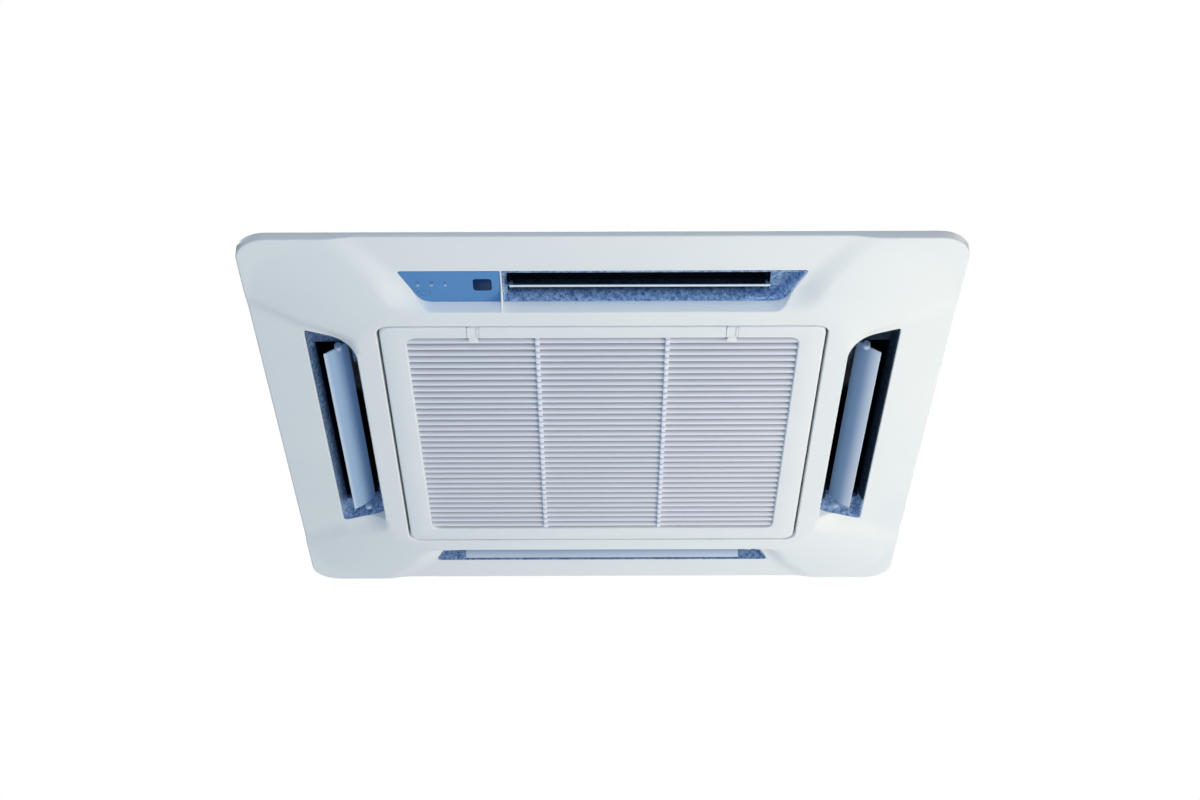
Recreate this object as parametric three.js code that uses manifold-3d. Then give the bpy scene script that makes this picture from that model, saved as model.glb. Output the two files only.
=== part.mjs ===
// Ceiling cassette air conditioner: a 950 mm square face panel under an 840 mm square body.
// Millimetres, +Z up. The origin is the centre of the panel on the finished ceiling (z = 0).
// Along each side of the panel, s is the distance out from the centre and t runs sideways.
import * as THREE from "three";
import { mergeVertices } from "three/addons/utils/BufferGeometryUtils.js";
import Module from "manifold-3d";

const wasm = await Module();
wasm.setup();

// ---------------------------------------------------------------- driving sizes
// Plan sizes, from the fan in the middle out to the edge of the panel.
const FAN_RADIUS = 232;
const FAN_TO_COIL = 33;
const COIL_DEPTH = 45;
const COIL_TO_OUTLET = 27;
const OUTLET_WIDTH = 69;
const OUTLET_TO_BODY = 14;
const PANEL_OVERLAP = 55;
const PANEL_CORNER_RADIUS = 43;
const BODY_CHAMFER = 150;

// Heights, measured from the ceiling.
const PLATEAU_DROP = 32;
const OUTLET_RIM_DROP = 13.4;
const EDGE_DROP = 8.5;
const CORNER_DROP = 12.5;
const BODY_BASE = 20;
const BODY_HEIGHT = 245;

// Panel moulding.
const PANEL_WALL = 3;
const RIM_WALL = 2.5;
const PLATEAU_BAND = 32;
const LEDGE_WIDTH = 20;
const LEDGE_DROP = 9;
const RIDGE_BLEND = 42;
const SCOOP_RUN = 41;
const SCOOP_CURVE = 2.5;
const SEAL_WALL_HEIGHT = 8;
const SEAL_WIDTH = 6;
const SEAL_INSET = 8.5;
const SCREW_RADIUS = 2.5;

// Air outlets and louvers.
const THROAT_TO_CORNER = 120;
const END_BLOCK = 24;
const END_SLANT = 28;
const INSERT_LIP = 5;
const INSERT_OUTER_LIP = 8;
const END_RECESS_TOP = 0;
const MOUTH_RIM = 1.5;
const BEARING_BLOCK = [3.5, 27];
const LOUVER_TILT = 36.5 * Math.PI / 180;
const LOUVER_CHORD = 38;
const LOUVER_THICKNESS = 2.4;
const LOUVER_BOW = 1.6;
const LOUVER_OVERHANG = 3;
const PIVOT_IN = 15;
const PIVOT_HEIGHT = 5;
const PIVOT_RADIUS = 3;
const PIVOT_DEPTH = 10;
const STEPPER_RADIUS = 14;
const STEPPER_LENGTH = 19;
const STEPPER_OFFSET = 8;
const NEAR_DIVIDER = -133.5;
const DIVIDER_WALL = 3;

// Display plate in the near left outlet end.
const DISPLAY_PLATE = 2.5;
const DISPLAY_WALL = 2;
const LAMP_SPACING = 18;
const LAMP_RADIUS = 2.4;
const LAMP_FIRST = [-243.5, -375];
const IR_CENTRE = [-158.5, -376];
const IR_SIZE = [24, 26];
const BUTTON_CENTRE = [-236.5, -359];
const BUTTON_SIZE = [16, 7];
const BUTTON_TRAVEL = 1.5;

// Return grille, filter, latches and hinges.
const GRILLE_GAP = 3.5;
const GRILLE_CORNER_RADIUS = 19;
const GRILLE_THICKNESS = 12;
const GRILLE_EASE = 3;
const GRILLE_FRAME = 35;
const GRILLE_NEAR_FRAME = 26;
const WINDOW_RADIUS = 16;
const SLAT_PITCH = 15.3;
const SLAT_THICKNESS = 2.2;
const SLAT_DEPTH = 11;
const SLAT_TILT = -40 * Math.PI / 180;
const CROSS_BAR_AT = 88.5;
const CROSS_BAR_WIDTH = 6;
const FILTER_THICKNESS = 5;
const FILTER_RIM = 12;
const FILTER_CELLS = 6;
const FILTER_BAR = 3;
const LATCH_AT = 175;
const LATCH_WIDTH = 16;
const LATCH_LENGTH = 15;
const LATCH_TRAVEL = 8;
const LATCH_PLATE = 1.5;
const HINGE_AT = 175;
const HINGE_WIDTH = 22;
const HINGE_PIN_RADIUS = 2;
const HINGE_INSET = 7.5;
const HINGE_RISE = 5.5;
const HINGE_HOOK = 3.2;

// Body: casing, liner and hangers.
const SHEET = 2;
const LINER = 12;
const MOTOR_HOLE_RADIUS = 115;
const HANGER_PITCH = [780, 680];
const HANGER_HEIGHT = 214;
const HANGER_WIDTH = 60;
const HANGER_FLANGE = 34;
const HANGER_SLOT = [12, 26];

// Drain pan, pump and float switch.
const PAN_HEIGHT = 50;
const TROUGH_DEPTH = 25;
const TROUGH_MARGIN = 11;
const PUMP_TO_CHAMFER = 50;
const PUMP_RADIUS = 26;
const PUMP_HEIGHT = 58;
const PUMP_LIFT = 42;
const PUMP_NOZZLE = [11, 8];
const SUMP_RADIUS = 34;
const FLOAT_TO_PUMP = 12;
const FLOAT_TRAVEL = 12;
const FLOAT_RADIUS = 8.5;
const HOSE_RADIUS = 9;
const HOSE_OFFSET = 36;
const DRAIN_HEIGHT = 178;
const DRAIN_RADIUS = 16;
const DRAIN_BORE = 12.5;

// Fan, motor and bell mouth.
const FAN_EYE_RADIUS = 196;
const FAN_BLADES = 7;
const FAN_WALL = 3;
const FAN_TOP_GAP = 37;
const FAN_DEPTH = 165;
const SHROUD_RISE = 40;
const MOTOR_RADIUS = 75;
const MOTOR_HEIGHT = 80;
const MOTOR_TOP_GAP = 17;
const SHAFT_RADIUS = 6;
const BELL_WALL = 2;
const BELL_FLARE = 36;

// Heat exchanger and refrigerant pipes.
const COIL_TOP_GAP = 10.7;
const COIL_CORNER_RADIUS = 80;
const COIL_OPEN_CORNER = 80;
const HEADER_RADIUS = 11;
const HEADER_INSET = 22;
const GAS_PIPE_RADIUS = 8;
const LIQUID_PIPE_RADIUS = 4.8;
const GAS_PIPE_HEIGHT = 150;
const LIQUID_PIPE_HEIGHT = 95;
const PIPE_REACH = 46;
const PIPE_COVER = [110, 110];

// Control box.
const CONTROL_BOX = [300, 60, 27];
const CONTROL_SHEET = 1.2;
const CONTROL_BOARD = [50, 1.6];
const TERMINAL_BLOCK = [60, 24, 8];
const CONTROL_MARGIN = 8;

// Clearances.
const GAP = 0.3;
const FIT = 0.5;
const RUNNING = 5;

// ---------------------------------------------------------------- derived places
const coilInner = FAN_RADIUS + FAN_TO_COIL;
const coilOuter = coilInner + COIL_DEPTH;
const outletInner = coilOuter + COIL_TO_OUTLET;
const outletOuter = outletInner + OUTLET_WIDTH;
const bodyHalf = outletOuter + OUTLET_TO_BODY;
const panelHalf = bodyHalf + PANEL_OVERLAP;
const openingHalf = outletInner - PLATEAU_BAND;
const grilleHalf = openingHalf - GRILLE_GAP;
const throatHalf = outletInner - THROAT_TO_CORNER;
const endInner = throatHalf + END_BLOCK;
const endOuter = endInner + END_SLANT;
const throatInner = outletInner + INSERT_LIP;
const throatOuter = outletOuter - INSERT_OUTER_LIP;

const plateauZ = -PLATEAU_DROP;
const rimZ = -OUTLET_RIM_DROP;
const ledgeZ = -LEDGE_DROP;
const bodyTop = BODY_BASE + BODY_HEIGHT;
const shellTop = bodyTop - SHEET - GAP;
const linerTop = shellTop;
const linerBottom = linerTop - LINER;
const panTop = BODY_BASE + PAN_HEIGHT;
const troughZ = panTop - TROUGH_DEPTH;
const bellTop = BODY_BASE - GAP;
const bellBottom = bellTop - BELL_WALL;
const grilleTop = plateauZ + GRILLE_THICKNESS;
const filterBottom = grilleTop + GAP;
const insertTop = BODY_BASE - FIT;
const chamferPlane = (2 * bodyHalf - BODY_CHAMFER) / Math.SQRT2;
const hingeY = grilleHalf - HINGE_INSET;
const hingeZ = plateauZ + HINGE_RISE;

// ---------------------------------------------------------------- finishes
const FINISH = {
  panelWhite: { color: 0xe3e8e9, roughness: 0.42, metalness: 0 },
  grilleWhite: { color: 0xd6dce4, roughness: 0.45, metalness: 0 },
  outletBlue: { color: 0x48679a, roughness: 0.85, metalness: 0 },
  louverWhite: { color: 0xc3d2df, roughness: 0.4, metalness: 0 },
  displayBlue: { color: 0x5f87b4, roughness: 0.5, metalness: 0 },
  smokedLens: { color: 0x141c33, roughness: 0.12, metalness: 0 },
  lampClear: { color: 0xcfe0ea, roughness: 0.2, metalness: 0 },
  galvanized: { color: 0xb9bdbf, roughness: 0.45, metalness: 0.85 },
  steel: { color: 0x9a9da0, roughness: 0.35, metalness: 0.9 },
  copper: { color: 0xb8704a, roughness: 0.35, metalness: 0.95 },
  brass: { color: 0xc6a557, roughness: 0.35, metalness: 0.9 },
  aluminiumFins: { color: 0xaeb4b8, roughness: 0.5, metalness: 0.8 },
  foamWhite: { color: 0xeceff0, roughness: 0.9, metalness: 0 },
  foamDark: { color: 0x3a3d40, roughness: 0.9, metalness: 0 },
  fanGrey: { color: 0x8d9296, roughness: 0.5, metalness: 0 },
  plasticBlack: { color: 0x222426, roughness: 0.5, metalness: 0 },
  plasticWhite: { color: 0xe6e8e6, roughness: 0.5, metalness: 0 },
  rubber: { color: 0x2a2a2b, roughness: 0.9, metalness: 0 },
  boardGreen: { color: 0x2f6b45, roughness: 0.55, metalness: 0 },
  filterMesh: { color: 0x6f7f8c, roughness: 0.8, metalness: 0 },
};

// ---------------------------------------------------------------- solid helpers
/** A closed three.js geometry as a solid that can be joined and cut. */
function solid(geometry) {
  const bare = geometry.index ? geometry.toNonIndexed() : geometry.clone();
  bare.deleteAttribute("normal");
  bare.deleteAttribute("uv");
  const merged = mergeVertices(bare, 1e-3);
  return new wasm.Manifold(new wasm.Mesh({
    numProp: 3,
    vertProperties: Float32Array.from(merged.attributes.position.array),
    triVerts: Uint32Array.from(merged.index.array),
  }));
}

/** A solid as a plain three.js geometry. */
function geometryOf(body) {
  const mesh = body.getMesh();
  const geometry = new THREE.BufferGeometry();
  geometry.setAttribute("position", new THREE.BufferAttribute(mesh.vertProperties, 3));
  geometry.setIndex(new THREE.BufferAttribute(mesh.triVerts, 1));
  return geometry;
}

/** All the given solids joined into one. */
function join(first, ...others) {
  return others.reduce((sum, body) => sum.add(body), first);
}

/** The first solid with all the others cut away. */
function cut(first, ...tools) {
  return tools.reduce((rest, tool) => rest.subtract(tool), first);
}

/** The convex solid stretched over the given ones. */
function hull(...bodies) {
  return wasm.Manifold.hull(bodies);
}

/** A named mesh with its own material. */
function piece(name, body, finish) {
  const mesh = new THREE.Mesh(geometryOf(body), new THREE.MeshStandardMaterial(finish));
  mesh.name = name;
  return mesh;
}

/** A box between two corners. */
function box(x0, x1, y0, y1, z0, z1) {
  const shape = new THREE.BoxGeometry(x1 - x0, y1 - y0, z1 - z0);
  return solid(shape.translate((x0 + x1) / 2, (y0 + y1) / 2, (z0 + z1) / 2));
}

/** A flat outline raised from z0 to z1. */
function prism(outline, z0, z1, curveSegments = 3) {
  const settings = { depth: z1 - z0, bevelEnabled: false, curveSegments };
  return solid(new THREE.ExtrudeGeometry(outline, settings).translate(0, 0, z0));
}

/** A flat outline raised from z0 to z1, with its lower edge rounded off. */
function easedPrism(outline, z0, z1, ease) {
  const settings = {
    depth: z1 - z0,
    bevelThickness: ease,
    bevelSize: ease,
    bevelOffset: -ease,
    bevelSegments: 2,
    curveSegments: 3,
  };
  const eased = new THREE.ExtrudeGeometry(outline, settings).translate(0, 0, z0 + ease);
  return solid(eased).trimByPlane([0, 0, -1], -z1);
}

/** A cylinder about the vertical through (x, y). */
function post(x, y, radius, z0, z1, sides = 20) {
  const shape = new THREE.CylinderGeometry(radius, radius, z1 - z0, sides);
  return solid(shape.rotateX(Math.PI / 2).translate(x, y, (z0 + z1) / 2));
}

/** A cylinder along Y between y0 and y1. */
function rodAlongY(x, z, radius, y0, y1, sides = 12) {
  const shape = new THREE.CylinderGeometry(radius, radius, y1 - y0, sides);
  return solid(shape.translate(x, (y0 + y1) / 2, z));
}

/** A cylinder along X between x0 and x1. */
function rodAlongX(y, z, radius, x0, x1, sides = 12) {
  const shape = new THREE.CylinderGeometry(radius, radius, x1 - x0, sides);
  return solid(shape.rotateZ(Math.PI / 2).translate((x0 + x1) / 2, y, z));
}

/** A closed (radius, height) profile turned about the Z axis. */
function turned(profile, sides) {
  const points = [...profile, profile[0]].map(([r, z]) => new THREE.Vector2(r, z));
  return solid(new THREE.LatheGeometry(points, sides).rotateX(Math.PI / 2));
}

/** An outline with each corner rounded by its own radius: points are [x, y, radius]. */
function rounded(points) {
  const outline = new THREE.Shape();
  points.forEach(([x, y, radius], index) => {
    const corner = new THREE.Vector2(x, y);
    const before = points[(index + points.length - 1) % points.length];
    const after = points[(index + 1) % points.length];
    const toBefore = new THREE.Vector2(before[0] - x, before[1] - y).setLength(radius);
    const toAfter = new THREE.Vector2(after[0] - x, after[1] - y).setLength(radius);
    const entry = corner.clone().add(toBefore);
    const exit = corner.clone().add(toAfter);
    if (index === 0) outline.moveTo(entry.x, entry.y);
    else outline.lineTo(entry.x, entry.y);
    if (radius > 0) outline.quadraticCurveTo(x, y, exit.x, exit.y);
  });
  outline.closePath();
  return outline;
}

/** A rounded rectangle about (x, y). */
function roundedBox(x, y, width, height, radius) {
  const [w, h] = [width / 2, height / 2];
  return rounded([
    [x - w, y - h, radius],
    [x + w, y - h, radius],
    [x + w, y + h, radius],
    [x - w, y + h, radius],
  ]);
}

/** The body's plan: a square with its corners cut at 45 degrees, drawn in by an inset. */
function chamferedSquare(inset) {
  const half = bodyHalf - inset;
  const straight = half - BODY_CHAMFER + inset * (2 - Math.SQRT2);
  return rounded([
    [half, -straight, 0],
    [half, straight, 0],
    [straight, half, 0],
    [-straight, half, 0],
    [-half, straight, 0],
    [-half, -straight, 0],
    [-straight, -half, 0],
    [straight, -half, 0],
  ]);
}

/** A tube along a path of points. */
function tubeAlong(points, radius, sides, steps) {
  const section = new THREE.Shape();
  section.absarc(0, 0, radius, 0, 2 * Math.PI);
  const extrudePath = new THREE.CatmullRomCurve3(points, false, "centripetal");
  const settings = { extrudePath, steps, bevelEnabled: false, curveSegments: sides };
  return solid(new THREE.ExtrudeGeometry(section, settings));
}

// ---------------------------------------------------------------- panel face
/** Half length of an outlet at a distance s from the centre; past the rim it fans out. */
function outletEnd(s) {
  const slope = END_SLANT / OUTLET_WIDTH;
  const fan = Math.max(0, s - outletOuter) * slope * 0.7;
  return endInner + (s - outletInner) * slope + fan;
}

/** Height of the sculpted face: low ridges at the corners, a scoop before each outlet. */
function faceHeight(x, y) {
  const s = Math.max(Math.abs(x), Math.abs(y));
  const t = Math.min(Math.abs(x), Math.abs(y));
  const round = Math.min(panelHalf, (s ** 8 + t ** 8) ** (1 / 8));
  const { lerp, smoothstep, inverseLerp, clamp } = THREE.MathUtils;
  const up = (1 - clamp((s - outletInner) / SCOOP_RUN, 0, 1)) ** SCOOP_CURVE;
  const beyond = clamp(inverseLerp(outletOuter, panelHalf, s), 0, 1);
  const along = clamp(inverseLerp(outletInner, panelHalf, round), 0, 1);
  const scoop = lerp(lerp(OUTLET_RIM_DROP, PLATEAU_DROP, up), EDGE_DROP, beyond);
  const ridge = lerp(PLATEAU_DROP, CORNER_DROP, along);
  const start = outletEnd(Math.max(s, outletInner));
  return -lerp(scoop, ridge, smoothstep(t, start, start + RIDGE_BLEND));
}

/** Points round a rounded square, denser where the face blends into its corner ridges. */
function squareLoop(s, radius, heightAt) {
  const straight = s - radius;
  const start = outletEnd(Math.max(s, outletInner));
  const blend = [0, 1 / 3, 2 / 3, 1].map((part) => start + RIDGE_BLEND * part);
  const shrink = Math.min(1, 0.97 * straight / (start + RIDGE_BLEND));
  const steps = blend.map((t) => t * shrink);
  const half = [...steps, straight];
  const sideways = [...half.map((t) => -t).reverse(), 0, ...half];
  const corner = [1 / 3, 2 / 3].map((part) => part * Math.PI / 2);
  const side = [
    ...sideways.map((t) => [s, t]),
    ...corner.map((a) => [straight + radius * Math.cos(a), straight + radius * Math.sin(a)]),
  ];
  const turns = [0, 1, 2, 3].map((quarter) => quarter * Math.PI / 2);
  return turns.flatMap((angle) => side.map(([u, v]) => {
    const x = u * Math.cos(angle) - v * Math.sin(angle);
    const y = u * Math.sin(angle) + v * Math.cos(angle);
    return [x, y, heightAt(x, y)];
  }));
}

/** A closed ring swept through loops of equal length, the last joined to the first. */
function ringOfLoops(loops) {
  const count = loops[0].length;
  const index = [];
  loops.forEach((loop, i) => {
    const next = (i + 1) % loops.length;
    loop.forEach((point, j) => {
      const beside = (j + 1) % count;
      const [a, b] = [i * count + j, i * count + beside];
      const [c, d] = [next * count + beside, next * count + j];
      index.push(a, b, c, a, c, d);
    });
  });
  const geometry = new THREE.BufferGeometry();
  const positions = new Float32Array(loops.flat(2));
  geometry.setAttribute("position", new THREE.BufferAttribute(positions, 3));
  geometry.setIndex(index);
  return solid(geometry);
}

/** Distances at which the face is sampled, with the corner radius of each loop. */
function faceStations(inner, outer) {
  const spread = (PANEL_CORNER_RADIUS - GRILLE_CORNER_RADIUS) / (panelHalf - openingHalf);
  const scoop = [0, 0.16, 0.38, 0.7].map((part) => outletInner + SCOOP_RUN * part);
  const middle = [...scoop, outletOuter, (outletOuter + panelHalf) / 2];
  const stations = [inner, ...middle, outer];
  return stations.map((s) => [s, GRILLE_CORNER_RADIUS + (s - openingHalf) * spread]);
}

/** The panel's moulded wall, from the grille opening to the outer edge. */
function panelShell() {
  const flat = (z) => () => z;
  const back = (x, y) => faceHeight(x, y) + PANEL_WALL;
  const edge = panelHalf - PANEL_WALL;
  const lip = openingHalf + PANEL_WALL;
  const inner = openingHalf - LEDGE_WIDTH;
  const radius = GRILLE_CORNER_RADIUS;
  const front = faceStations(openingHalf, panelHalf).map(([s, r]) => squareLoop(s, r, faceHeight));
  const rear = faceStations(lip, edge).reverse().map(([s, r]) => squareLoop(s, r, back));
  return ringOfLoops([
    ...front,
    squareLoop(panelHalf, PANEL_CORNER_RADIUS, flat(0)),
    squareLoop(edge, PANEL_CORNER_RADIUS - PANEL_WALL, flat(0)),
    ...rear,
    squareLoop(lip, radius, flat(ledgeZ + PANEL_WALL)),
    squareLoop(inner, radius / 2, flat(ledgeZ + PANEL_WALL)),
    squareLoop(inner, radius / 2, flat(ledgeZ)),
    squareLoop(openingHalf, radius, flat(ledgeZ)),
  ]);
}

/** Everything between the face and the ceiling, to trim walls that stand behind the face. */
function behindFace() {
  const flat = () => PANEL_WALL;
  const front = faceStations(openingHalf, panelHalf).map(([s, r]) => squareLoop(s, r, faceHeight));
  return ringOfLoops([
    ...front,
    squareLoop(panelHalf, PANEL_CORNER_RADIUS, flat),
    squareLoop(openingHalf, GRILLE_CORNER_RADIUS, flat),
  ]);
}

/** Plan of an outlet on the +X side, grown or shrunk all round, between two ends. */
function outletOutline(grow, left = "slanted", right = "slanted") {
  const near = outletInner - grow;
  const far = outletOuter + grow;
  const end = (s) => outletEnd(outletInner) + (s - outletInner) * END_SLANT / OUTLET_WIDTH + grow;
  const divider = -NEAR_DIVIDER - DIVIDER_WALL / 2;
  const low = left === "slanted" ? end : () => divider + grow;
  const high = right === "slanted" ? end : () => -divider - DIVIDER_WALL + grow;
  const innerRound = Math.max(2, 16 + grow);
  const outerRound = 6;
  return rounded([
    [near, -low(near), left === "slanted" ? innerRound : 1],
    [far, -low(far), left === "slanted" ? outerRound : 1],
    [far, high(far), right === "slanted" ? outerRound : 1],
    [near, high(near), right === "slanted" ? innerRound : 1],
  ]);
}

/** Turns a solid made for the +X side onto another side: 1 far, 2 left, 3 near. */
function onSide(body, quarter) {
  return body.rotate([0, 0, 90 * quarter]);
}

/** The white face panel with its outlet openings, rims, ledge and seal wall. */
function panelFrame() {
  const rimTop = rimZ + PANEL_WALL + 1;
  const fullHole = (grow) => prism(outletOutline(grow), plateauZ - 1, rimTop);
  const outletHole = (grow) => prism(outletOutline(grow, "divider"), plateauZ - 1, rimTop);
  const displayHole = (grow) =>
    prism(outletOutline(grow, "slanted", "divider"), plateauZ - 1, rimTop);
  const behind = behindFace();
  const sides = [0, 1, 2].map((quarter) => [fullHole, quarter]);
  sides.push([outletHole, 3], [displayHole, 3]);
  const sealWall = cut(
    prism(chamferedSquare(SEAL_INSET - PANEL_WALL / 2), plateauZ, SEAL_WALL_HEIGHT),
    prism(chamferedSquare(SEAL_INSET + PANEL_WALL / 2), plateauZ - 1, SEAL_WALL_HEIGHT + 1),
  );
  let body = join(panelShell(), trimmedAbove(sealWall, behind));
  sides.forEach(([hole, quarter]) => {
    body = body.add(onSide(hole(RIM_WALL), quarter).intersect(behind));
  });
  sides.forEach(([hole, quarter]) => {
    body = body.subtract(onSide(hole(0), quarter));
  });
  const holes = screwHoles(SCREW_RADIUS + 0.9, ledgeZ - 1, ledgeZ + PANEL_WALL + 1, 12);
  return cut(body, ...latchWindows(), ...holes);
}

/** The part of a wall that doesn't come out through the face. */
function trimmedAbove(wall, behind) {
  const above = box(-panelHalf, panelHalf, -panelHalf, panelHalf, PANEL_WALL - 1, bodyTop);
  return wall.intersect(behind.add(above));
}

/** Windows in the near wall of the opening for the latch tongues. */
function latchWindows() {
  const half = LATCH_WIDTH / 2 + 1;
  const low = plateauZ + 4;
  return [-LATCH_AT, LATCH_AT].map((x) =>
    box(x - half, x + half, -openingHalf - PANEL_WALL - 1, -openingHalf + 1, low, low + 6));
}

/** Where the panel's screws go up through the ledge's corners into the pan. */
function screwPoints() {
  const at = openingHalf - LEDGE_WIDTH * 0.7;
  return [[at, at], [-at, at], [-at, -at], [at, -at]];
}

/** Holes for the panel's screws between two heights. */
function screwHoles(radius, z0, z1, sides) {
  return screwPoints().map(([x, y]) => post(x, y, radius, z0, z1, sides));
}

/** Foam strip between the panel's seal wall and the drain pan. */
function panelSeal() {
  const bottom = SEAL_WALL_HEIGHT + GAP;
  const top = BODY_BASE - GAP;
  return cut(
    prism(chamferedSquare(SEAL_INSET - SEAL_WIDTH / 2), bottom, top),
    prism(chamferedSquare(SEAL_INSET + SEAL_WIDTH / 2), bottom - 1, top + 1),
  );
}

// ---------------------------------------------------------------- outlets and louvers
const pivotS = outletInner + PIVOT_IN;
const louverEnd = throatHalf + LOUVER_OVERHANG;
const nearLouverStart = NEAR_DIVIDER + 11;

/** Block that carries a louver's pivot beside the throat, at the end towards +t. */
function bearingBlock() {
  const inner = outletInner + FIT;
  return box(inner, throatInner + BEARING_BLOCK[0], throatHalf - BEARING_BLOCK[1],
    endInner, rimZ + 1.2, PIVOT_HEIGHT);
}

/** Foam tray in an outlet on the +X side. The near one stops at the display divider. */
function outletInsert(isNear) {
  const outline = (grow) => outletOutline(grow, isNear ? "divider" : "slanted");
  const start = isNear ? nearLouverStart - 1 : -throatHalf;
  const clear = LOUVER_OVERHANG + 2;
  const pocketStart = isNear ? NEAR_DIVIDER + DIVIDER_WALL + 4 : -throatHalf - clear;
  const below = rimZ - 1;
  const throat = box(throatInner, throatOuter, start, throatHalf, below, insertTop + 1);
  const swing = box(throatInner, throatOuter, pocketStart, throatHalf + clear,
    below, PIVOT_HEIGHT + 7);
  const recess = rounded([
    [throatInner, isNear ? pocketStart : -endInner + 8, isNear ? 1 : 12],
    [throatOuter, isNear ? pocketStart : -endOuter + 10, 4],
    [throatOuter, endOuter - 10, 4],
    [throatInner, endInner - 8, 12],
  ]);
  const mouth = hull(
    prism(outline(-FIT - MOUTH_RIM), below, rimZ),
    prism(recess, END_RECESS_TOP - 1, END_RECESS_TOP),
  );
  const body = prism(outline(-FIT), rimZ, insertTop);
  const block = bearingBlock();
  const blocks = isNear ? block : join(block, block.mirror([0, 1, 0]));
  const boreEnd = pocketStart - PIVOT_DEPTH * (isNear ? 0.3 : 1);
  const bore = rodAlongY(pivotS, PIVOT_HEIGHT, PIVOT_RADIUS + GAP, boreEnd, panelHalf);
  return join(cut(body, throat, swing, mouth, bore), blocks.intersect(body));
}

/** Curved blade, end arms and pivot pins of a louver on the +X side. */
function louver(isNear) {
  const start = isNear ? nearLouverStart : -louverEnd;
  const tip = new THREE.Vector2(
    pivotS + 1.5 + LOUVER_CHORD * Math.cos(LOUVER_TILT),
    PIVOT_HEIGHT - 2.5 - LOUVER_CHORD * Math.sin(LOUVER_TILT));
  const root = new THREE.Vector2(pivotS + 1.5, PIVOT_HEIGHT - 2.5);
  const along = tip.clone().sub(root).normalize();
  const normal = new THREE.Vector2(-along.y, along.x);
  const middle = root.clone().add(tip).multiplyScalar(0.5);
  const at = (point, lift) => point.clone().addScaledVector(normal, lift);
  const blade = new THREE.Shape();
  const [a, b] = [at(root, -LOUVER_THICKNESS / 2), at(tip, -LOUVER_THICKNESS / 2)];
  const [c, d] = [at(tip, LOUVER_THICKNESS / 2), at(root, LOUVER_THICKNESS / 2)];
  const under = at(middle, -LOUVER_THICKNESS / 2 - 2 * LOUVER_BOW);
  const over = at(middle, LOUVER_THICKNESS / 2 - 2 * LOUVER_BOW);
  blade.moveTo(a.x, a.y);
  blade.quadraticCurveTo(under.x, under.y, b.x, b.y);
  blade.lineTo(c.x, c.y);
  blade.quadraticCurveTo(over.x, over.y, d.x, d.y);
  blade.closePath();
  const lay = (outline, t0, t1, curveSegments) => {
    const settings = { depth: t1 - t0, bevelEnabled: false, curveSegments };
    const shape = new THREE.ExtrudeGeometry(outline, settings);
    return solid(shape.rotateX(Math.PI / 2).translate(0, t1, 0));
  };
  const arm = rounded([
    [pivotS - 4, PIVOT_HEIGHT + 4, 2],
    [pivotS - 4, PIVOT_HEIGHT - 4, 2],
    [pivotS + 6, PIVOT_HEIGHT - 8, 2],
    [pivotS + 9, PIVOT_HEIGHT - 4, 2],
    [pivotS + 4, PIVOT_HEIGHT + 4, 2],
  ]);
  const armWidth = 3;
  const reach = PIVOT_DEPTH + 2;
  return join(
    lay(blade, start, louverEnd, 6),
    lay(arm, start, start + armWidth, 2),
    lay(arm, louverEnd - armWidth, louverEnd, 2),
    rodAlongY(pivotS, PIVOT_HEIGHT, PIVOT_RADIUS, start - reach * (isNear ? 0.55 : 1), start + 1),
    rodAlongY(pivotS, PIVOT_HEIGHT, PIVOT_RADIUS, louverEnd - 1, louverEnd + reach),
  );
}

/** Small geared stepper motor behind the end of a louver on the +X side. */
function louverMotor() {
  const start = outletEnd(pivotS + STEPPER_OFFSET + STEPPER_RADIUS) + RIM_WALL;
  const shaftTip = louverEnd + PIVOT_DEPTH + 2 + GAP;
  const centreS = pivotS + STEPPER_OFFSET;
  const earReach = STEPPER_RADIUS + 4;
  const ears = box(centreS - earReach, centreS + earReach, start, start + 1,
    PIVOT_HEIGHT - 3.5, PIVOT_HEIGHT + 3.5);
  const lead = box(centreS - 7, centreS + 7, start + 2, start + STEPPER_LENGTH - 2,
    PIVOT_HEIGHT - 16, PIVOT_HEIGHT);
  return join(
    rodAlongY(centreS, PIVOT_HEIGHT, STEPPER_RADIUS, start, start + STEPPER_LENGTH, 24),
    rodAlongY(pivotS, PIVOT_HEIGHT, PIVOT_RADIUS - 0.5, shaftTip, start + 1),
    ears,
    lead,
  );
}

/** One outlet's pieces, turned onto its side of the panel. */
function outletSide(name, quarter) {
  const isNear = name === "near";
  const side = new THREE.Group();
  side.rotation.z = quarter * Math.PI / 2;
  side.add(
    piece(`outlet_insert_${name}`, outletInsert(isNear), FINISH.outletBlue),
    piece(`louver_${name}`, louver(isNear), FINISH.louverWhite),
    piece(`louver_motor_${name}`, louverMotor(), FINISH.plasticWhite),
  );
  return side;
}

// ---------------------------------------------------------------- display
/** Centres of the three indicator lamps. */
function lampCentres() {
  return [0, 1, 2].map((index) => [LAMP_FIRST[0] + index * LAMP_SPACING, LAMP_FIRST[1]]);
}

/** Blue plate with rim, holes for the lamps, the receiver and the button. */
function displayBezel() {
  const outline = (grow) => outletOutline(grow, "slanted", "divider");
  const top = rimZ + DISPLAY_PLATE + 6;
  const tray = cut(
    prism(outline(-FIT), rimZ, top),
    prism(outline(-FIT - DISPLAY_WALL), rimZ + DISPLAY_PLATE, top + 1),
  );
  const through = (shape) => prism(shape, rimZ - 1, rimZ + DISPLAY_PLATE + 1);
  const [bx, by] = BUTTON_CENTRE;
  const [bw, bh] = BUTTON_SIZE;
  const [ix, iy] = IR_CENTRE;
  const [iw, ih] = IR_SIZE;
  return cut(
    onSide(tray, 3),
    through(roundedBox(bx, by, bw + 2 * FIT, bh + 2 * FIT, bh / 2)),
    through(roundedBox(ix, iy, iw + GAP, ih + GAP, 5)),
    ...lampCentres().map(([x, y]) => post(x, y, LAMP_RADIUS + GAP, rimZ - 1, top, 12)),
  );
}

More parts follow.
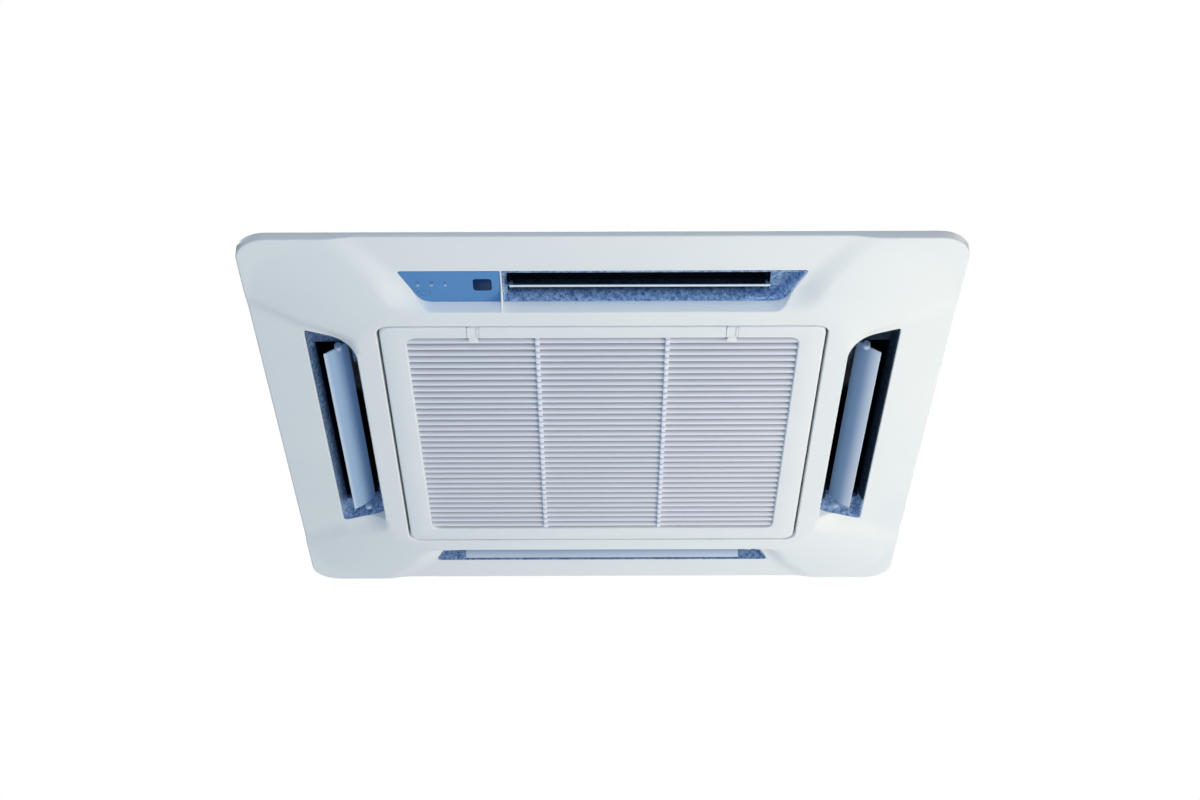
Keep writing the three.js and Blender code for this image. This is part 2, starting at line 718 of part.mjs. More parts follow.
/** Smoked window of the infrared receiver. */
function irWindow() {
  const [x, y] = IR_CENTRE;
  const [w, h] = IR_SIZE;
  const top = rimZ + DISPLAY_PLATE + GAP;
  return join(
    prism(roundedBox(x, y, w - GAP, h - GAP, 5), rimZ - 0.4, top + 0.5),
    prism(roundedBox(x, y, w + 3, h + 3, 5), top, top + 1.5),
  );
}

/** Oval button for manual running, with a flange that keeps it behind the plate. */
function manualButton() {
  const [x, y] = BUTTON_CENTRE;
  const [w, h] = BUTTON_SIZE;
  const top = rimZ + DISPLAY_PLATE + GAP;
  return join(
    prism(roundedBox(x, y, w, h, h / 2 - 0.1), rimZ - 0.6, top + 0.5),
    prism(roundedBox(x, y, w + 2.5, h + 3, h / 2), top, top + 1),
  );
}

/** One light guide: a bar behind the plate with a tip through each lamp hole. */
function lampGuide() {
  const back = rimZ + DISPLAY_PLATE + GAP;
  const [first, , last] = lampCentres();
  const bar = box(first[0] - 4, last[0] + 4, first[1] - 4, first[1] + 4, back, back + 2);
  const tips = lampCentres().map(([x, y]) => post(x, y, LAMP_RADIUS, rimZ - 0.3, back + 1, 12));
  return join(bar, ...tips);
}

/** Circuit board over the display plate, clear of the button's travel. */
function displayBoard() {
  const bottom = rimZ + DISPLAY_PLATE + 2.5 + BUTTON_TRAVEL;
  const [x0] = lampCentres()[0];
  return prism(roundedBox((x0 + NEAR_DIVIDER) / 2 + 1, -(outletInner + outletOuter) / 2,
    NEAR_DIVIDER - x0 - 12, OUTLET_WIDTH - 24, 2), bottom, bottom + 1.6);
}

// ---------------------------------------------------------------- return grille
const windowNear = -grilleHalf + GRILLE_NEAR_FRAME;
const windowFar = grilleHalf - GRILLE_FRAME;
const windowHalf = grilleHalf - GRILLE_FRAME;

/** Hinged grille: frame, slats, cross bars, latch slots and hinge notches with their pins. */
function returnGrille() {
  const centreY = (windowNear + windowFar) / 2;
  const windowDepth = windowFar - windowNear;
  const outline = roundedBox(0, 0, 2 * grilleHalf, 2 * grilleHalf, GRILLE_CORNER_RADIUS);
  const frame = cut(
    easedPrism(outline, plateauZ, grilleTop, GRILLE_EASE),
    prism(roundedBox(0, centreY, 2 * windowHalf, windowDepth, WINDOW_RADIUS),
      plateauZ - 1, grilleTop + 1),
  );
  const grown = roundedBox(0, centreY, 2 * windowHalf + 2, windowDepth + 2, WINDOW_RADIUS);
  const window = prism(grown, plateauZ + 1.5, grilleTop - 1);
  const count = Math.floor(windowDepth / SLAT_PITCH);
  const first = centreY - (count - 1) * SLAT_PITCH / 2;
  const slats = Array.from({ length: count }, (_, index) => slatAt(first + index * SLAT_PITCH));
  const bars = [-CROSS_BAR_AT, CROSS_BAR_AT].map((x) =>
    box(x - CROSS_BAR_WIDTH / 2, x + CROSS_BAR_WIDTH / 2, windowNear - 1, windowFar + 1,
      plateauZ + 1.5, grilleTop - 1));
  const inside = join(...slats, ...bars).intersect(window);
  const hinges = [-HINGE_AT, HINGE_AT];
  const notches = hinges.map((x) =>
    box(x - HINGE_WIDTH / 2, x + HINGE_WIDTH / 2, hingeY - 12, grilleHalf + 1,
      plateauZ + 2, grilleTop + 1));
  const pins = hinges.map((x) =>
    rodAlongX(hingeY, hingeZ, HINGE_PIN_RADIUS, x - HINGE_WIDTH / 2 - 2, x + HINGE_WIDTH / 2 + 2));
  return join(cut(join(frame, inside), ...notches, ...latchSlots()), ...pins);
}

/** One slanted slat across the grille's window. */
function slatAt(y) {
  const shape = new THREE.BoxGeometry(2 * windowHalf + 2, SLAT_DEPTH, SLAT_THICKNESS);
  const middle = (plateauZ + 1.5 + grilleTop - 1) / 2;
  return solid(shape.rotateX(SLAT_TILT).translate(0, y, middle));
}

const latchFront = -grilleHalf + FIT;
const latchBack = latchFront + LATCH_LENGTH;

/** Slots in the near side of the frame, each long enough for its latch's travel. */
function latchSlots() {
  return [-LATCH_AT, LATCH_AT].flatMap((x) => {
    const half = LATCH_WIDTH / 2 + FIT;
    return [
      box(x - half, x + half, -grilleHalf - 1, latchBack + LATCH_TRAVEL + FIT,
        plateauZ - 1, grilleTop + 1),
      box(x - half, x + half, latchBack, windowNear + 1, plateauZ - 1, plateauZ + LATCH_PLATE),
    ];
  });
}

/** Sliding latch: thumb plate with a flared end over the slats, and a tongue for the panel. */
function latch(x) {
  const half = LATCH_WIDTH / 2;
  const plateEnd = windowNear + 10;
  const low = plateauZ + 0.3 - LATCH_PLATE / 2;
  const plate = rounded([
    [x - half, latchFront, 1],
    [x + half, latchFront, 1],
    [x + half, windowNear - 1, 1],
    [x + half - 1, plateEnd, 1],
    [x - half + 1, plateEnd, 1],
    [x - half, windowNear - 1, 1],
  ]);
  const tongueLow = plateauZ + 5;
  return join(
    prism(plate, low, low + LATCH_PLATE),
    box(x - half, x + half, latchFront, latchBack, low, grilleTop - 1),
    box(x - half + 1, x + half - 1, latchFront - LATCH_TRAVEL, latchFront + 1,
      tongueLow, tongueLow + 4),
  );
}

/** Hook fixed under the panel's ledge that holds a hinge pin of the grille. */
function hingeClip(x) {
  const half = HINGE_WIDTH / 2 - 1.5;
  const top = ledgeZ - GAP;
  const body = join(
    rodAlongX(hingeY, hingeZ, HINGE_HOOK, x - half, x + half),
    box(x - half, x + half, hingeY - HINGE_HOOK, hingeY + HINGE_HOOK, hingeZ, top),
    box(x - half, x + half, hingeY - 10, hingeY + HINGE_HOOK, top - 2.5, top),
  );
  return cut(body, rodAlongX(hingeY, hingeZ, HINGE_PIN_RADIUS + GAP, x - half - 1, x + half + 1));
}

/** Washable filter clipped behind the grille: a rim and a lattice that carries the mesh. */
function airFilter() {
  const half = grilleHalf - GRILLE_FRAME + 6;
  const near = windowNear - 4;
  const top = filterBottom + FILTER_THICKNESS;
  const centre = (near + half) / 2;
  const rim = cut(
    prism(roundedBox(0, centre, 2 * half, half - near, 10), filterBottom, top),
    prism(roundedBox(0, centre, 2 * (half - FILTER_RIM), half - near - 2 * FILTER_RIM, 6),
      filterBottom - 1, top + 1),
  );
  const parts = Array.from({ length: FILTER_CELLS - 1 }, (_, index) => (index + 1) / FILTER_CELLS);
  const edge = FILTER_RIM / 2;
  const bars = parts.flatMap((part) => {
    const x = -half + 2 * half * part;
    const y = near + (half - near) * part;
    return [
      box(x - FILTER_BAR / 2, x + FILTER_BAR / 2, near + edge, half - edge,
        filterBottom + 0.5, top - 1),
      box(-half + edge, half - edge, y - FILTER_BAR / 2, y + FILTER_BAR / 2,
        filterBottom + 1, top - 1.5),
    ];
  });
  const mesh = box(-half + edge + 1, half - edge - 1, near + edge + 1, half - edge - 1,
    filterBottom + 1.5, filterBottom + 2.3);
  return join(rim, mesh, ...bars);
}

// ---------------------------------------------------------------- casing
/** Unit vectors out of and along the chamfered corner in the quadrant (sx, sy). */
function cornerAxes(sx, sy) {
  const out = new THREE.Vector3(sx, sy, 0).normalize();
  const along = new THREE.Vector3(-out.y, out.x, 0);
  return { out, along };
}

/** Turns a solid made round the +X axis at the origin to face out of a chamfered corner. */
function atCorner(body, sx, sy) {
  return body.rotate([0, 0, THREE.MathUtils.radToDeg(Math.atan2(sy, sx))]);
}

/** Folded steel wall round the body, open for the pipes and the drain. */
function casingSideShell() {
  const wall = cut(
    prism(chamferedSquare(0), BODY_BASE, shellTop),
    prism(chamferedSquare(SHEET), BODY_BASE - 1, shellTop + 1),
  );
  const [w, h] = PIPE_COVER;
  const middle = (GAS_PIPE_HEIGHT + LIQUID_PIPE_HEIGHT) / 2;
  const pipeOpening = box(chamferPlane - 30, chamferPlane + 10, -w / 2 + 10, w / 2 - 10,
    middle - h / 2 + 10, middle + h / 2 - 10);
  const drainOpening = rodAlongX(0, DRAIN_HEIGHT, DRAIN_RADIUS + FIT, chamferPlane - 30,
    chamferPlane + 10, 24);
  return cut(wall, atCorner(pipeOpening, 1, 1), atCorner(drainOpening, -1, 1));
}

/** Steel lid with pressed ribs. */
function casingTopPlate() {
  const plate = prism(chamferedSquare(0), bodyTop - SHEET, bodyTop);
  const ribs = [-1, 1].map((side) =>
    box(-bodyHalf * 0.6, bodyHalf * 0.6, side * bodyHalf * 0.55 - 8, side * bodyHalf * 0.55 + 8,
      bodyTop - 1, bodyTop + 3));
  return join(plate, ...ribs);
}

/** Foam lining against the steel wall and lid, open in the middle for the motor. */
function foamLiner() {
  const inside = SHEET + FIT;
  const [w, h] = PIPE_COVER;
  const middle = (GAS_PIPE_HEIGHT + LIQUID_PIPE_HEIGHT) / 2;
  return cut(
    prism(chamferedSquare(inside), panTop + FIT, linerTop - GAP),
    prism(chamferedSquare(inside + LINER), panTop, linerBottom),
    post(0, 0, MOTOR_HOLE_RADIUS, linerBottom - 1, linerTop + 1, 32),
    atCorner(box(chamferPlane - 40, chamferPlane + 10, -w / 2 + 10, w / 2 - 10,
      middle - h / 2 + 10, middle + h / 2 - 10), 1, 1),
    atCorner(rodAlongX(0, DRAIN_HEIGHT, DRAIN_RADIUS + FIT, chamferPlane - 40,
      chamferPlane + 10, 24), -1, 1),
  );
}

/** Bent steel bracket on a chamfered corner, with a slot for the hanging rod. */
function hangerBracket(sx, sy) {
  const [pitchX, pitchY] = HANGER_PITCH;
  const { out, along } = cornerAxes(sx, sy);
  const rod = new THREE.Vector3(sx * pitchX / 2, sy * pitchY / 2, 0);
  const reach = rod.dot(out);
  const aside = rod.dot(along);
  const face = chamferPlane + GAP;
  const half = HANGER_WIDTH / 2;
  const thick = 3;
  const [slotWidth, slotLength] = HANGER_SLOT;
  const seat = roundedBox((face + reach + 20) / 2, aside, reach + 20 - face, HANGER_WIDTH, 6);
  const slot = roundedBox(reach, aside, slotLength, slotWidth, slotWidth / 2);
  return atCorner(join(
    cut(
      prism(seat, HANGER_HEIGHT, HANGER_HEIGHT + thick),
      prism(slot, HANGER_HEIGHT - 1, HANGER_HEIGHT + thick + 1),
    ),
    box(face, face + thick, aside - half, aside + half, HANGER_HEIGHT,
      HANGER_HEIGHT + HANGER_FLANGE),
  ), sx, sy);
}

// ---------------------------------------------------------------- drain pan and pump
const pumpReach = chamferPlane - PUMP_TO_CHAMFER;
const floatAside = PUMP_RADIUS + FLOAT_TO_PUMP;
const sumpZ = BODY_BASE + 12;

/** Foam pan under the coil: a trough all round, four air slots and a pump sump. */
function drainPan() {
  const body = prism(chamferedSquare(SHEET + FIT), BODY_BASE, panTop);
  const troughIn = coilInner - TROUGH_MARGIN;
  const troughOut = coilOuter + TROUGH_MARGIN;
  const trough = cut(
    prism(roundedBox(0, 0, 2 * troughOut, 2 * troughOut, COIL_CORNER_RADIUS + TROUGH_MARGIN),
      troughZ, panTop + 1),
    prism(roundedBox(0, 0, 2 * troughIn, 2 * troughIn, COIL_CORNER_RADIUS / 2),
      troughZ - 1, panTop + 2),
  );
  const slotSides = [0, 1, 2, 3].map((quarter) => onSide(
    box(throatInner - 2, throatOuter + 2, -throatHalf - 3, throatHalf + 3, BODY_BASE - 1,
      panTop + 1), quarter));
  const eye = post(0, 0, FAN_EYE_RADIUS + BELL_FLARE + 6, BODY_BASE - 1, panTop + 1, 36);
  const sump = join(
    rodUp(pumpReach, 0, SUMP_RADIUS, sumpZ, panTop + 1, 24),
    rodUp(pumpReach, -floatAside, FLOAT_RADIUS + 4, sumpZ, panTop + 1, 24),
  );
  const channel = box(coilOuter, pumpReach, -12, 12, troughZ, panTop + 1);
  const plugHole = rodUp(pumpReach, 0, 9 + GAP, BODY_BASE - 1, sumpZ + 1, 16);
  const screws = screwHoles(SCREW_RADIUS + 0.8, BODY_BASE - 1, BODY_BASE + 15, 8);
  return cut(body, trough, ...slotSides, eye, atCorner(sump, -1, 1), atCorner(channel, -1, 1),
    atCorner(plugHole, -1, 1), ...screws);
}

/** A vertical cylinder in corner coordinates. */
function rodUp(reach, aside, radius, z0, z1, sides) {
  return post(reach, aside, radius, z0, z1, sides);
}

/** Rubber plug that closes the sump from below. */
function drainPlug() {
  return atCorner(join(
    rodUp(pumpReach, 0, 9, BODY_BASE - 3, sumpZ - 2, 16),
    rodUp(pumpReach, 0, 13, BODY_BASE - 5, BODY_BASE - GAP, 16),
  ), -1, 1);
}

const pumpBase = sumpZ + PUMP_LIFT;

/** Drain pump: motor can, pump body, suction nozzle and outlet stub. */
function drainPump() {
  const [nozzle, bore] = PUMP_NOZZLE;
  const nozzleEnd = sumpZ + 6;
  const arm = box(pumpReach, pumpReach + 12, 0, HOSE_OFFSET, pumpBase + 4, pumpBase + 12);
  const stub = rodUp(pumpReach + 6, HOSE_OFFSET, 7, pumpBase + 4, pumpBase + 24, 16);
  return atCorner(cut(
    join(
      rodUp(pumpReach, 0, nozzle, nozzleEnd, pumpBase + 1, 20),
      rodUp(pumpReach, 0, PUMP_RADIUS - 4, pumpBase, pumpBase + 18, 24),
      rodUp(pumpReach, 0, PUMP_RADIUS, pumpBase + 17, pumpBase + PUMP_HEIGHT, 24),
      arm,
      stub,
    ),
    rodUp(pumpReach, 0, bore, nozzleEnd - 1, pumpBase - 6, 20),
  ), -1, 1);
}

/** Small wheel that turns inside the pump's nozzle. */
function pumpImpeller() {
  const [, bore] = PUMP_NOZZLE;
  const low = sumpZ + 8;
  const vane = (angle) => box(-bore + 1.5, bore - 1.5, -0.8, 0.8, low, low + 10)
    .rotate([0, 0, angle]);
  const wheel = join(post(0, 0, 2, low, pumpBase - 7, 12), vane(0), vane(90));
  return atCorner(wheel.translate([pumpReach, 0, 0]), -1, 1);
}

const floatLow = sumpZ + 4;
const floatHeight = 15;

/** Guide rod of the water level switch, with stops for the float and a strap to the pump. */
function floatSwitchStem() {
  const top = pumpBase + 12;
  const upperStop = floatLow + floatHeight + FLOAT_TRAVEL + GAP;
  const strap = box(pumpReach - 4, pumpReach + 4, -floatAside, -PUMP_RADIUS + 4 - FIT,
    top - 4, top);
  return atCorner(join(
    rodUp(pumpReach, -floatAside, 3, sumpZ + 1, top, 12),
    rodUp(pumpReach, -floatAside, 5, sumpZ + 1, floatLow - GAP, 12),
    rodUp(pumpReach, -floatAside, 5, upperStop, top, 12),
    strap,
  ), -1, 1);
}

/** Ring float that rides up the rod when the pan fills. */
function floatSwitchFloat() {
  return atCorner(cut(
    rodUp(pumpReach, -floatAside, FLOAT_RADIUS, floatLow, floatLow + floatHeight, 16),
    rodUp(pumpReach, -floatAside, 3.5, floatLow - 1, floatLow + floatHeight + 1, 12),
  ), -1, 1);
}

/** Hose from the pump's stub up to the drain socket. */
function drainHose() {
  const start = pumpBase + 24 + GAP;
  const x = pumpReach + 6;
  const end = chamferPlane - LINER - SHEET - 4;
  const pumpTop = pumpBase + PUMP_HEIGHT;
  const points = [
    new THREE.Vector3(x, HOSE_OFFSET, start),
    new THREE.Vector3(x, HOSE_OFFSET, start + 12),
    new THREE.Vector3(x, HOSE_OFFSET, pumpTop + 6),
    new THREE.Vector3(x - 2, HOSE_OFFSET * 0.6, pumpTop + 30),
    new THREE.Vector3(x, HOSE_OFFSET * 0.1, DRAIN_HEIGHT - 4),
    new THREE.Vector3(end - 10, 0, DRAIN_HEIGHT),
    new THREE.Vector3(end, 0, DRAIN_HEIGHT),
  ];
  return atCorner(tubeAlong(points, HOSE_RADIUS, 5, 18), -1, 1);
}

/** Rigid socket through the corner where the drain pipe is glued on. */
function drainSocket() {
  const start = chamferPlane - LINER - SHEET - 4 + GAP;
  const end = chamferPlane + 40;
  const face = chamferPlane + GAP;
  return atCorner(cut(
    join(
      rodAlongX(0, DRAIN_HEIGHT, DRAIN_RADIUS, start, end, 24),
      rodAlongX(0, DRAIN_HEIGHT, DRAIN_RADIUS + 8, face, face + 3, 24),
    ),
    rodAlongX(0, DRAIN_HEIGHT, DRAIN_BORE, start + 6, end + 1, 24),
  ), -1, 1);
}

// ---------------------------------------------------------------- fan
const fanTop = bodyTop - FAN_TOP_GAP;
const fanBottom = fanTop - FAN_DEPTH;
const motorTop = bodyTop - MOTOR_TOP_GAP;
const motorBottom = motorTop - MOTOR_HEIGHT;
const hubBottom = motorBottom - 40;
const bellMouthTop = fanBottom + 8;

/** Backward-curved turbo fan: hub cone, back plate, shroud and blades as one moulding. */
function fanImpeller() {
  const hubRadius = MOTOR_RADIUS + 15;
  const plateBottom = fanTop - FAN_WALL;
  const hub = turned([
    [SHAFT_RADIUS + GAP, hubBottom],
    [24, hubBottom],
    [hubRadius, motorBottom - 12],
    [hubRadius + 12, plateBottom - 1],
    [FAN_RADIUS, plateBottom],
    [FAN_RADIUS, fanTop],
    [hubRadius + 10, fanTop],
    [hubRadius - FAN_WALL, motorBottom - 10],
    [22, hubBottom + 6],
    [20, hubBottom + 18],
    [SHAFT_RADIUS + GAP, hubBottom + 18],
  ], 32);
  const eye = FAN_EYE_RADIUS + BELL_WALL + RUNNING;
  const rise = fanBottom + SHROUD_RISE;
  const curve = [0, 0.33, 0.66, 1].map((part) => [
    eye + (FAN_RADIUS - eye) * part * part,
    fanBottom + SHROUD_RISE * part,
  ]);
  const shroud = turned([
    ...curve,
    [FAN_RADIUS, rise + FAN_WALL],
    ...curve.slice(0, 3).reverse().map(([r, z]) => [r - 0.5 * FAN_WALL, z + FAN_WALL]),
  ], 32);
  const blades = Array.from({ length: FAN_BLADES }, (_, index) =>
    fanBlade(rise - 6, plateBottom + 1).rotate([0, 0, index * 360 / FAN_BLADES]));
  return join(hub, shroud, ...blades);
}

/** One curved blade between the shroud and the back plate. */
function fanBlade(z0, z1) {
  const root = FAN_EYE_RADIUS * 0.72;
  const tip = FAN_RADIUS - 1;
  const sweep = 0.55;
  const blade = new THREE.Shape();
  const at = (radius, angle) => [radius * Math.cos(angle), radius * Math.sin(angle)];
  const thin = 3 / tip;
  const middle = (root + tip) / 2;
  blade.moveTo(...at(root, 0));
  blade.quadraticCurveTo(...at(middle * 1.06, -sweep * 0.42), ...at(tip, -sweep));
  blade.lineTo(...at(tip, -sweep - thin));
  blade.quadraticCurveTo(...at(middle * 1.03, -sweep * 0.5 - thin), ...at(root, -1.6 * thin));
  blade.closePath();
  return prism(blade, z0, z1, 4);
}

/** Fan motor with its flange. */
function fanMotor() {
  const flangeRadius = MOTOR_RADIUS + 23;
  const feet = [0, 120, 240].map((angle) =>
    box(flangeRadius - 30, flangeRadius, -12, 12, motorTop - 1, linerTop - 2)
      .rotate([0, 0, angle + 30]));
  return cut(
    join(
      post(0, 0, MOTOR_RADIUS, motorBottom, motorTop - 2, 32),
      post(0, 0, flangeRadius, motorTop - 4, motorTop, 32),
      ...feet,
    ),
    post(0, 0, SHAFT_RADIUS + GAP, motorBottom - 1, motorBottom + 50, 16),
  );
}

/** Steel shaft that carries the impeller. */
function motorShaft() {
  return post(0, 0, SHAFT_RADIUS, hubBottom - 14, motorBottom + 48, 16);
}

/** Nut under the impeller's hub. */
function fanNut() {
  return cut(
    post(0, 0, 11, hubBottom - 10, hubBottom - GAP, 6),
    post(0, 0, SHAFT_RADIUS + GAP, hubBottom - 11, hubBottom, 16),
  );
}

/** Inlet ring: a square flange and a flare that leads the air into the fan's eye. */
function bellMouth() {
  const rim = FAN_EYE_RADIUS + BELL_FLARE;
  const height = bellMouthTop - bellBottom;
  const arc = (wall) => Array.from({ length: 6 }, (_, index) => {
    const angle = index / 5 * Math.PI / 2;
    return [
      rim - (BELL_FLARE - wall) * Math.cos(angle),
      bellMouthTop - (height - wall) * Math.sin(angle),
    ];
  });
  const flare = turned([...arc(0), ...arc(BELL_WALL).reverse()], 36);
  const half = coilInner + COIL_DEPTH * 0.2;
  const flange = cut(
    prism(roundedBox(0, 0, 2 * half, 2 * half, 12), bellBottom, bellTop),
    post(0, 0, rim - 1, bellBottom - 1, bellTop + 1, 36),
  );
  return join(flange, flare);
}

// ---------------------------------------------------------------- heat exchanger
const coilBottom = troughZ + 1;
const coilTop = linerBottom - COIL_TOP_GAP;
const openFrom = coilOuter - COIL_OPEN_CORNER;

/** Finned coil bent round the fan, open at the corner where its pipes come out. */
function heatExchanger() {
  const outer = roundedBox(0, 0, 2 * coilOuter, 2 * coilOuter, COIL_CORNER_RADIUS);
  const inner = roundedBox(0, 0, 2 * coilInner, 2 * coilInner, COIL_CORNER_RADIUS - COIL_DEPTH);
  return cut(
    prism(outer, coilBottom, coilTop, 5),
    prism(inner, coilBottom - 1, coilTop + 1, 5),
    box(openFrom, coilOuter + 1, openFrom, coilOuter + 1, coilBottom - 1, coilTop + 1),
  );
}

/** Steel plates on the coil's two ends, at the open corner. */
function tubeSheets() {
  const [low, high] = [coilInner - 2, coilOuter + 2];
  const [face, back] = [openFrom + GAP, openFrom + GAP + 1.5];
  return {
    right: box(low, high, face, back, coilBottom, coilTop + 2),
    far: box(face, back, low, high, coilBottom, coilTop + 2),
  };
}

const headerReach = (openFrom + coilInner - 10) / Math.SQRT2 + 40;
const pipeEnd = chamferPlane + PIPE_REACH;

/** Copper header that gathers the coil's circuits. */
function coilHeader() {
  const [low, high] = [coilBottom + HEADER_INSET, coilTop - HEADER_INSET];
  return atCorner(rodUp(headerReach, 0, HEADER_RADIUS, low, high, 20), 1, 1);
}

/** Copper pipe straight out of the corner at a height. */
function refrigerantPipe(radius, height, start) {
  return atCorner(rodAlongX(0, height, radius, start, pipeEnd, 16), 1, 1);
}

/** Hexagonal flare nut over the end of a pipe. */
function flareNut(radius, height) {
  const start = pipeEnd - 18;
  const nut = join(
    rodAlongX(0, height, radius * 1.75, start, start + 20, 6),
    rodAlongX(0, height, radius * 1.4, start - 6, start + 1, 16),
  );
  const bore = rodAlongX(0, height, radius + GAP, start - 7, start + 21, 16);
  return atCorner(cut(nut, bore), 1, 1);
}

/** Steel cover over the pipe opening, with a hole for each pipe. */
function pipeCoverPlate() {
  const [w, h] = PIPE_COVER;
  const middle = (GAS_PIPE_HEIGHT + LIQUID_PIPE_HEIGHT) / 2;
  const face = chamferPlane + GAP;
  return atCorner(cut(
    box(face, face + SHEET, -w / 2, w / 2, middle - h / 2, middle + h / 2),
    rodAlongX(0, GAS_PIPE_HEIGHT, GAS_PIPE_RADIUS + 1, face - 1, face + SHEET + 1, 16),
    rodAlongX(0, LIQUID_PIPE_HEIGHT, LIQUID_PIPE_RADIUS + 1, face - 1, face + SHEET + 1, 16),
  ), 1, 1);
}

// ---------------------------------------------------------------- control box
const [controlLength, controlWidth, controlHeight] = CONTROL_BOX;
const controlNear = -openingHalf + LEDGE_WIDTH + 4;
const controlFar = controlNear + controlWidth;
const controlTop = bellBottom - GAP;
const controlBottom = controlTop - controlHeight;

/** Folded steel tray for the electronics, open below. */
function controlBox() {
  const half = controlLength / 2;
  const t = CONTROL_SHEET;
  return cut(
    box(-half, half, controlNear, controlFar, controlBottom, controlTop),
    box(-half + t, half - t, controlNear + t, controlFar - t, controlBottom - 1, controlTop - t),
    box(half - 2 * t, half + 1, controlFar - 30, controlFar - 14, controlBottom - 1,
      controlBottom + 10),
  );
}

/** Steel lid under the tray. */
function controlBoxCover() {
  const half = controlLength / 2;
  return box(-half, half, controlNear, controlFar, controlBottom - GAP - CONTROL_SHEET,
    controlBottom - GAP);
}

const terminalStart = controlLength / 2 - TERMINAL_BLOCK[0] - 12;

/** Main circuit board inside the tray. */
function controlBoard() {
  const [width, thick] = CONTROL_BOARD;
  const x0 = -controlLength / 2 + CONTROL_MARGIN;
  const length = terminalStart - 20 - x0;
  const y0 = (controlNear + controlFar - width) / 2;
  const z0 = controlTop - CONTROL_SHEET - 8;
  const board = box(x0, x0 + length, y0, y0 + width, z0, z0 + thick);
  const parts = [0.15, 0.4, 0.7].map((part, index) =>
    box(x0 + length * part, x0 + length * part + 22, y0 + 8, y0 + width - 12,
      z0 - 9 - index, z0 + 0.5));
  return join(board, ...parts);
}

/** Terminal block for the supply and signal wires. */
function terminalBlock() {
  const [length, width, height] = TERMINAL_BLOCK;
  const middle = (controlNear + controlFar) / 2;
  const [y0, y1] = [middle - width / 2, middle + width / 2];
  const top = controlTop - CONTROL_SHEET - GAP;
  const base = box(terminalStart, terminalStart + length, y0, y1, top - height, top);
  const ribThick = 1.5;
  const ribStep = (length - ribThick) / 5;
  const ribs = Array.from({ length: 6 }, (_, index) => {
    const x = terminalStart + index * ribStep;
    return box(x, x + ribThick, y0, y1, top - height - 6, top - height + 1);
  });
  return join(base, ...ribs);
}

// ---------------------------------------------------------------- assembly
function bodyUnit() {
  const unit = new THREE.Group();
  unit.add(
    piece("casing_top_plate", casingTopPlate(), FINISH.galvanized),
    piece("casing_side_shell", casingSideShell(), FINISH.galvanized),
    piece("foam_liner", foamLiner(), FINISH.foamWhite),
    piece("hanger_bracket_far_right", hangerBracket(1, 1), FINISH.steel),
    piece("hanger_bracket_far_left", hangerBracket(-1, 1), FINISH.steel),
    piece("hanger_bracket_near_left", hangerBracket(-1, -1), FINISH.steel),
    piece("hanger_bracket_near_right", hangerBracket(1, -1), FINISH.steel),
    piece("fan_motor", fanMotor(), FINISH.galvanized),
    piece("motor_shaft", motorShaft(), FINISH.steel),
    piece("fan_impeller", fanImpeller(), FINISH.fanGrey),
    piece("fan_nut", fanNut(), FINISH.steel),
    piece("bell_mouth", bellMouth(), FINISH.plasticBlack),
  );
  return unit;
}

function refrigerantSide() {
  const unit = new THREE.Group();
  const sheets = tubeSheets();
  unit.add(
    piece("heat_exchanger", heatExchanger(), FINISH.aluminiumFins),
    piece("tube_sheet_right", sheets.right, FINISH.galvanized),
    piece("tube_sheet_far", sheets.far, FINISH.galvanized),
    piece("coil_header", coilHeader(), FINISH.copper),
    piece("gas_pipe", refrigerantPipe(GAS_PIPE_RADIUS, GAS_PIPE_HEIGHT,
      headerReach + HEADER_RADIUS + GAP), FINISH.copper),
    piece("liquid_pipe", refrigerantPipe(LIQUID_PIPE_RADIUS, LIQUID_PIPE_HEIGHT,
      headerReach + HEADER_RADIUS + GAP), FINISH.copper),
    piece("gas_flare_nut", flareNut(GAS_PIPE_RADIUS, GAS_PIPE_HEIGHT), FINISH.brass),
    piece("liquid_flare_nut", flareNut(LIQUID_PIPE_RADIUS, LIQUID_PIPE_HEIGHT), FINISH.brass),
    piece("pipe_cover_plate", pipeCoverPlate(), FINISH.galvanized),
  );
  return unit;
}

function waterSide() {
  const unit = new THREE.Group();
  unit.add(
    piece("drain_pan", drainPan(), FINISH.foamDark),
    piece("drain_plug", drainPlug(), FINISH.rubber),
    piece("drain_pump", drainPump(), FINISH.plasticWhite),
    piece("pump_impeller", pumpImpeller(), FINISH.plasticBlack),
    piece("float_switch_stem", floatSwitchStem(), FINISH.plasticBlack),
    piece("float_switch_float", floatSwitchFloat(), FINISH.plasticWhite),
    piece("drain_hose", drainHose(), FINISH.rubber),
    piece("drain_socket", drainSocket(), FINISH.plasticBlack),
  );
  return unit;
}

function controls() {
  const unit = new THREE.Group();
  unit.add(
    piece("control_box", controlBox(), FINISH.galvanized),
    piece("control_box_cover", controlBoxCover(), FINISH.galvanized),
    piece("control_board", controlBoard(), FINISH.boardGreen),
    piece("terminal_block", terminalBlock(), FINISH.plasticBlack),
  );
  return unit;
}

